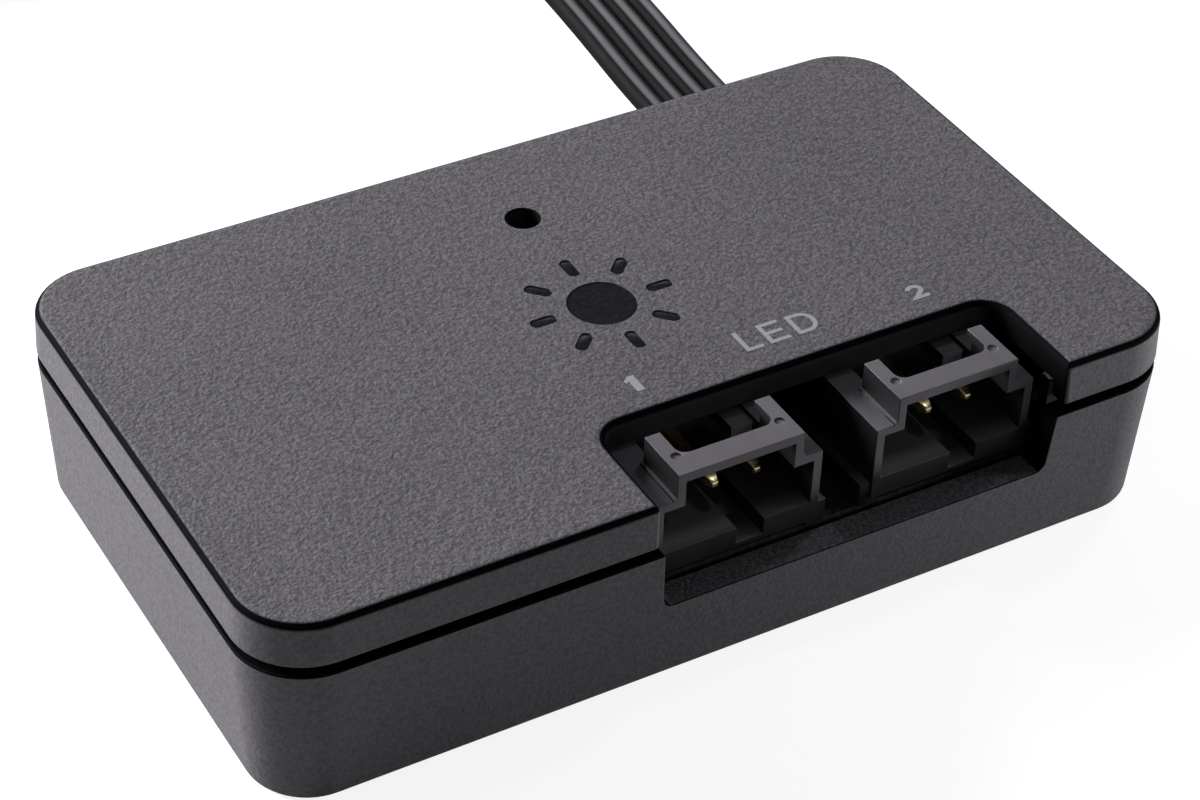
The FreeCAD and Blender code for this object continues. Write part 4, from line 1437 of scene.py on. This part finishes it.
@dataclass
class PowerLead:
    """The flat lead of four bonded cores, its coil, tie and plug."""

    core: float = 1.5
    pitch: float = 1.46
    cores: int = 4
    core_steps: int = 9
    waist: float = 0.96
    route: tuple[Place, ...] = (
        (17.1, 12.3, 8.0),
        (17.1, 19.5, 8.0),
        (18.57, 33.5, 8.0),
        (21.4, 57.0, 5.5),
        (25.0, 78.5, 3.4),
    )
    route_steps: int = 10
    coil_entry: Place = (28.4, 93.1, 3.4)
    coil_radius: float = 36.47
    coil_pitch: float = 2.6
    turns: int = 2
    points_a_turn: int = 16
    tail_run: float = 9.6
    tail_turn: float = 27.0
    tail_bends: int = 5
    rise_from: float = 36.9
    rise_to: float = 73.8
    flat_from: float = 31.0
    flat_to: float = 6.0
    smooth_angle: float = 70.0
    tie_round: float = 0.12
    plug_round: float = 0.25
    cap_round: float = 0.3
    plug_steps: int = 3
    blade_round: float = 0.05
    grip_round: float = 0.15
    exit: Place = (17.1, 15.8, 8.0)

    @property
    def width(self) -> float:
        """The lead's width."""
        return (self.cores - 1) * self.pitch + self.core

    def control_points(self) -> list[Vector]:
        """The route's control points: the free stretch, the coil's half turns and the inner end.

        Returns:
            The points, in millimetres.
        """
        points = [Vector(p) for p in self.route]
        entry = Vector(self.coil_entry)
        ahead = (entry - points[-1]).normalized()
        left = Vector((-ahead.y, ahead.x, 0.0))
        middle = entry + left * self.coil_radius
        step = 2 * math.pi / self.points_a_turn
        for k in range(self.turns * self.points_a_turn):
            angle = (k + 0.5) * step
            half_turn = 2 * k // self.points_a_turn
            radius = (self.coil_radius - half_turn * self.coil_pitch / 2) / math.cos(step / 2)
            centre = middle + left * (self.coil_pitch / 2 if half_turn % 2 else 0.0)
            points.append(centre + (ahead * math.sin(angle) - left * math.cos(angle)) * radius)
        at = middle - left * (self.coil_radius - self.turns * self.coil_pitch)
        heading = 0.0
        for _ in range(self.tail_bends + 1):
            at = at + (ahead * math.cos(heading) + left * math.sin(heading)) * self.tail_run
            points.append(at)
            heading += math.radians(self.tail_turn)
        return points

    def line(self) -> list[Vector]:
        """Points along the smooth route, in metres.

        Returns:
            The points, from the case to the plug.
        """
        curve = bpy.data.curves.new("lead_route", "CURVE")
        curve.dimensions = "3D"
        curve.resolution_u = self.route_steps
        spline = curve.splines.new("NURBS")
        places = self.control_points()
        spline.points.add(len(places) - 1)
        for point, place in zip(spline.points, places):
            point.co = (*(place * MM), 1.0)
        spline.order_u = 3
        spline.use_endpoint_u = True
        guide = bpy.data.objects.new("lead_route", curve)
        bpy.context.scene.collection.objects.link(guide)
        graph = bpy.context.evaluated_depsgraph_get()
        mesh = bpy.data.meshes.new_from_object(guide.evaluated_get(graph))
        found = [v.co.copy() for v in mesh.vertices]
        bpy.data.objects.remove(guide)
        bpy.data.meshes.remove(mesh)
        return found

    def section(self) -> list[Point]:
        """The lead's cross-section: a row of round cores that run into each other.

        Returns:
            Its points, in millimetres.
        """
        r = self.core / 2
        meet = math.acos(min(1.0, self.pitch / 2 / r * self.waist))
        points = []
        for side in (1, -1):
            for i in range(self.cores):
                x = side * (i - (self.cores - 1) / 2) * self.pitch
                last = i == self.cores - 1
                start = math.pi if i == 0 else math.pi - meet
                end = 0.0 if last else meet
                for k in range(self.core_steps + (0 if last else 1)):
                    angle = start + (end - start) * k / self.core_steps
                    points.append((x + side * r * math.cos(angle), side * r * math.sin(angle)))
        return points

    def rings(self, line: Sequence[Vector]) -> list[list[Vector]]:
        """The cross-section along the lead, level at its ends and on edge in the coil.

        Args:
            line: The line that the lead follows, in metres.

        Returns:
            A ring of points at each point of the line, in millimetres.
        """
        lengths = [0.0]
        for a, b in zip(line, line[1:]):
            lengths.append(lengths[-1] + (b - a).length / MM)
        total = lengths[-1]
        section = self.section()
        rings = []
        for i, place in enumerate(line):
            ahead = (line[min(i + 1, len(line) - 1)] - line[max(i - 1, 0)]).normalized()
            level = ahead.cross(Vector((0.0, 0.0, 1.0))).normalized()
            upright = level.cross(ahead).normalized()
            roll = self.ease((lengths[i] - self.rise_from) / (self.rise_to - self.rise_from))
            roll += self.ease((lengths[i] - total + self.flat_from) / (self.flat_from - self.flat_to))
            angle = roll * math.pi / 2
            across = level * math.cos(angle) + upright * math.sin(angle)
            thick = upright * math.cos(angle) - level * math.sin(angle)
            rings.append([place / MM + across * x + thick * y for x, y in section])
        return rings

    @staticmethod
    def ease(share: float) -> float:
        """A smooth step from 0 to 1."""
        t = min(1.0, max(0.0, share))
        return t * t * (3 - 2 * t)

    def build(self, frame: dict) -> None:
        """Makes the lead, its tie, its plug and its collar.

        Args:
            frame: The loaded frame.
        """
        line = self.line()
        lead = stacked("flat_power_lead", self.rings(line))
        lead.data.shade_smooth()
        lead.data.set_sharp_from_angle(angle=math.radians(self.smooth_angle))
        dress(lead, Finishes.vinyl, ["power_lead", "power_lead_coil", "power_lead_end"])
        tie = dressed_copy(frame, "lead_tie", "coil_tie_band", Finishes.tie, self.tie_round)
        steps = self.plug_steps
        body = dressed_copy(frame, "power_plug_body", "plug_shell", Finishes.plug, self.plug_round, steps)
        cap = dressed_copy(frame, "power_plug_cap", "plug_cover", Finishes.plug, self.cap_round, steps)
        blades = dressed_copy(frame, "power_plug_contacts", "plug_blades", Finishes.gold, self.blade_round)
        dressed_copy(frame, "lead_grip", "lead_collar", Finishes.grip, self.grip_round)


@dataclass
class Inside:
    """The board and what it carries: solids that keep their shape and get a finish."""

    solids: tuple[tuple[Finish, tuple[str, ...]], ...] = (
        (Finishes.board, ("circuit_board",)),
        (Finishes.chip, ("microcontroller", "line_buffer", "voltage_regulator", "reservoir_capacitor")),
        (
            Finishes.tin,
            ("microcontroller_leads", "line_buffer_leads", "voltage_regulator_leads", "clock_crystal"),
        ),
        (Finishes.ceramic, ("supply_fuse", "bypass_capacitors", "line_resistors")),
        (Finishes.lens, ("status_light",)),
        (Finishes.vinyl, ("lead_core_tails",)),
        (Finishes.insert, ("data_socket_insert",)),
        (Finishes.gold, ("data_socket_contacts",)),
        (Finishes.screw, ("board_screw_1", "board_screw_2", "board_screw_3", "board_screw_4")),
    )
    shell_round: float = 0.14
    shell_steps: int = 3

    def build(self, frame: dict) -> None:
        """Gives each solid its finish and makes the socket's folded shell.

        Args:
            frame: The loaded frame.
        """
        for finish, names in self.solids:
            for name in names:
                for slot in frame["nodes"][name].material_slots:
                    slot.material = finish.material()
                LOG.info("solid %s", name)
        dressed_copy(
            frame, "data_socket_shell", "data_socket_can", Finishes.socket, self.shell_round, self.shell_steps
        )


@dataclass
class Viewpoint:
    """The camera at the photograph's place."""

    place: Place = (-67.32, -111.41, 108.82)
    right: Place = (0.86844, -0.49464, 0.03310)
    up: Place = (0.28540, 0.55345, 0.78244)
    forward: Place = (0.40534, 0.67008, -0.62182)
    lens: float = 92.05
    sensor: float = 36.0
    nearest: float = 0.001

    def build(self) -> None:
        """Makes the camera and sets it for the scene."""
        data = bpy.data.cameras.new("camera")
        data.lens = self.lens
        data.sensor_width = self.sensor
        data.sensor_fit = "HORIZONTAL"
        data.clip_start = self.nearest
        camera = bpy.data.objects.new("camera", data)
        rows = (Vector(self.right), Vector(self.up), -Vector(self.forward))
        turn = Matrix(rows).transposed().to_4x4()
        camera.matrix_world = Matrix.Translation(Vector(self.place) * MM) @ turn
        bpy.context.scene.collection.objects.link(camera)
        bpy.context.scene.camera = camera


@dataclass(frozen=True)
class SoftLamp:
    """A square studio lamp that looks at the object."""

    name: str
    place: Place
    aim: Place
    size: float
    power: float

    def build(self) -> None:
        """Makes the lamp."""
        data = bpy.data.lights.new(self.name, "AREA")
        data.shape = "SQUARE"
        data.size = self.size
        data.energy = self.power
        lamp = bpy.data.objects.new(self.name, data)
        lamp.location = self.place
        away = Vector(self.aim) - Vector(self.place)
        lamp.rotation_euler = away.to_track_quat("-Z", "Y").to_euler()
        bpy.context.scene.collection.objects.link(lamp)


@dataclass
class Studio:
    """Pale floor, a large lamp behind on the left, two small ones, and a backdrop that is pale low down."""

    floor_size: float = 6.0
    floor_white: float = 0.4
    floor_glow: float = 0.85
    mirror_glow: float = 0.2
    lamps: tuple[SoftLamp, ...] = (
        SoftLamp("key_left", (-0.235, 0.31, 0.148), (0.0, 0.0, 0.0), size=0.2, power=5.25),
        SoftLamp("catch_top", (0.175, 0.072, 0.36), (0.007, -0.013, 0.008), size=0.04, power=0.12),
        SoftLamp("fill_right", (0.1, -0.043, 0.01), (0.024, -0.014, 0.004), size=0.018, power=0.072),
    )
    ambient: float = 0.1
    horizon: float = 1.0
    horizon_top: float = 0.2
    horizon_end: float = 0.45

    def build(self) -> None:
        """Makes the floor, the lamps and the surroundings."""
        self.lay_floor()
        for lamp in self.lamps:
            lamp.build()
        self.hang_backdrop()

    @staticmethod
    def rays(graph: NodeGraph) -> tuple[Wire, Wire]:
        """Masks for the kinds of rays.

        Args:
            graph: The graph that the masks go into.

        Returns:
            1 for rays from the camera, and 1 for mirrored and passed rays.
        """
        camera, glossy, passed = (
            graph.add("ShaderNodeLightPath", output=f"Is {kind} Ray")
            for kind in ("Camera", "Glossy", "Transmission")
        )
        return camera, glossy + passed

    def lay_floor(self) -> None:
        """Makes the floor: white paper that stays pale to the camera and keeps a soft shadow."""
        h = self.floor_size / 2 / MM
        mesh = mesh_from("floor", [(-h, -h, 0), (h, -h, 0), (h, h, 0), (-h, h, 0)], [[0, 1, 2, 3]])
        floor = new_piece("floor", mesh)
        material = bpy.data.materials.new("floor_paper")
        graph = NodeGraph(material)
        camera, mirrored = self.rays(graph)
        seen = camera * self.floor_glow + mirrored * self.mirror_glow
        paper = graph.add("ShaderNodeBsdfDiffuse", {}, {"Color": grey(self.floor_white)})
        glow = graph.add("ShaderNodeEmission", {}, {"Color": grey(1.0), "Strength": seen})
        graph.add_output(graph.add("ShaderNodeAddShader", {}, {0: paper, 1: glow}))
        floor.data.materials.append(material)

    def hang_backdrop(self) -> None:
        """Makes the surroundings: white to the camera, bright low down in mirrored rays, dim for the rest."""
        world = bpy.data.worlds.new("studio")
        bpy.context.scene.world = world
        graph = NodeGraph(world)
        ahead = graph.add("ShaderNodeTexCoord", output="Generated")
        height = graph.add("ShaderNodeSeparateXYZ", {}, {0: ahead}, output="Z")
        band = (1 - height.between(self.horizon_top, self.horizon_end)) * self.horizon
        camera, mirrored = self.rays(graph)
        strength = camera + (1 - camera) * (self.ambient + mirrored * band)
        sky = graph.add("ShaderNodeBackground", {}, {"Color": grey(1.0), "Strength": strength})
        graph.add_output(sky, "ShaderNodeOutputWorld")


def main() -> None:
    """Builds every sub-assembly in order."""
    logging.basicConfig(level=logging.INFO, format="%(message)s")
    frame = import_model()
    Viewpoint().build()
    PowerLead().build(frame)
    Lid().build()
    Tray().build()
    for number in (1, 2):
        Outlet(number).build(frame)
    Labels().build()
    Inside().build(frame)
    Studio().build()
    bpy.context.scene.view_settings.view_transform = "Standard"


if __name__ == "__main__":
    main()
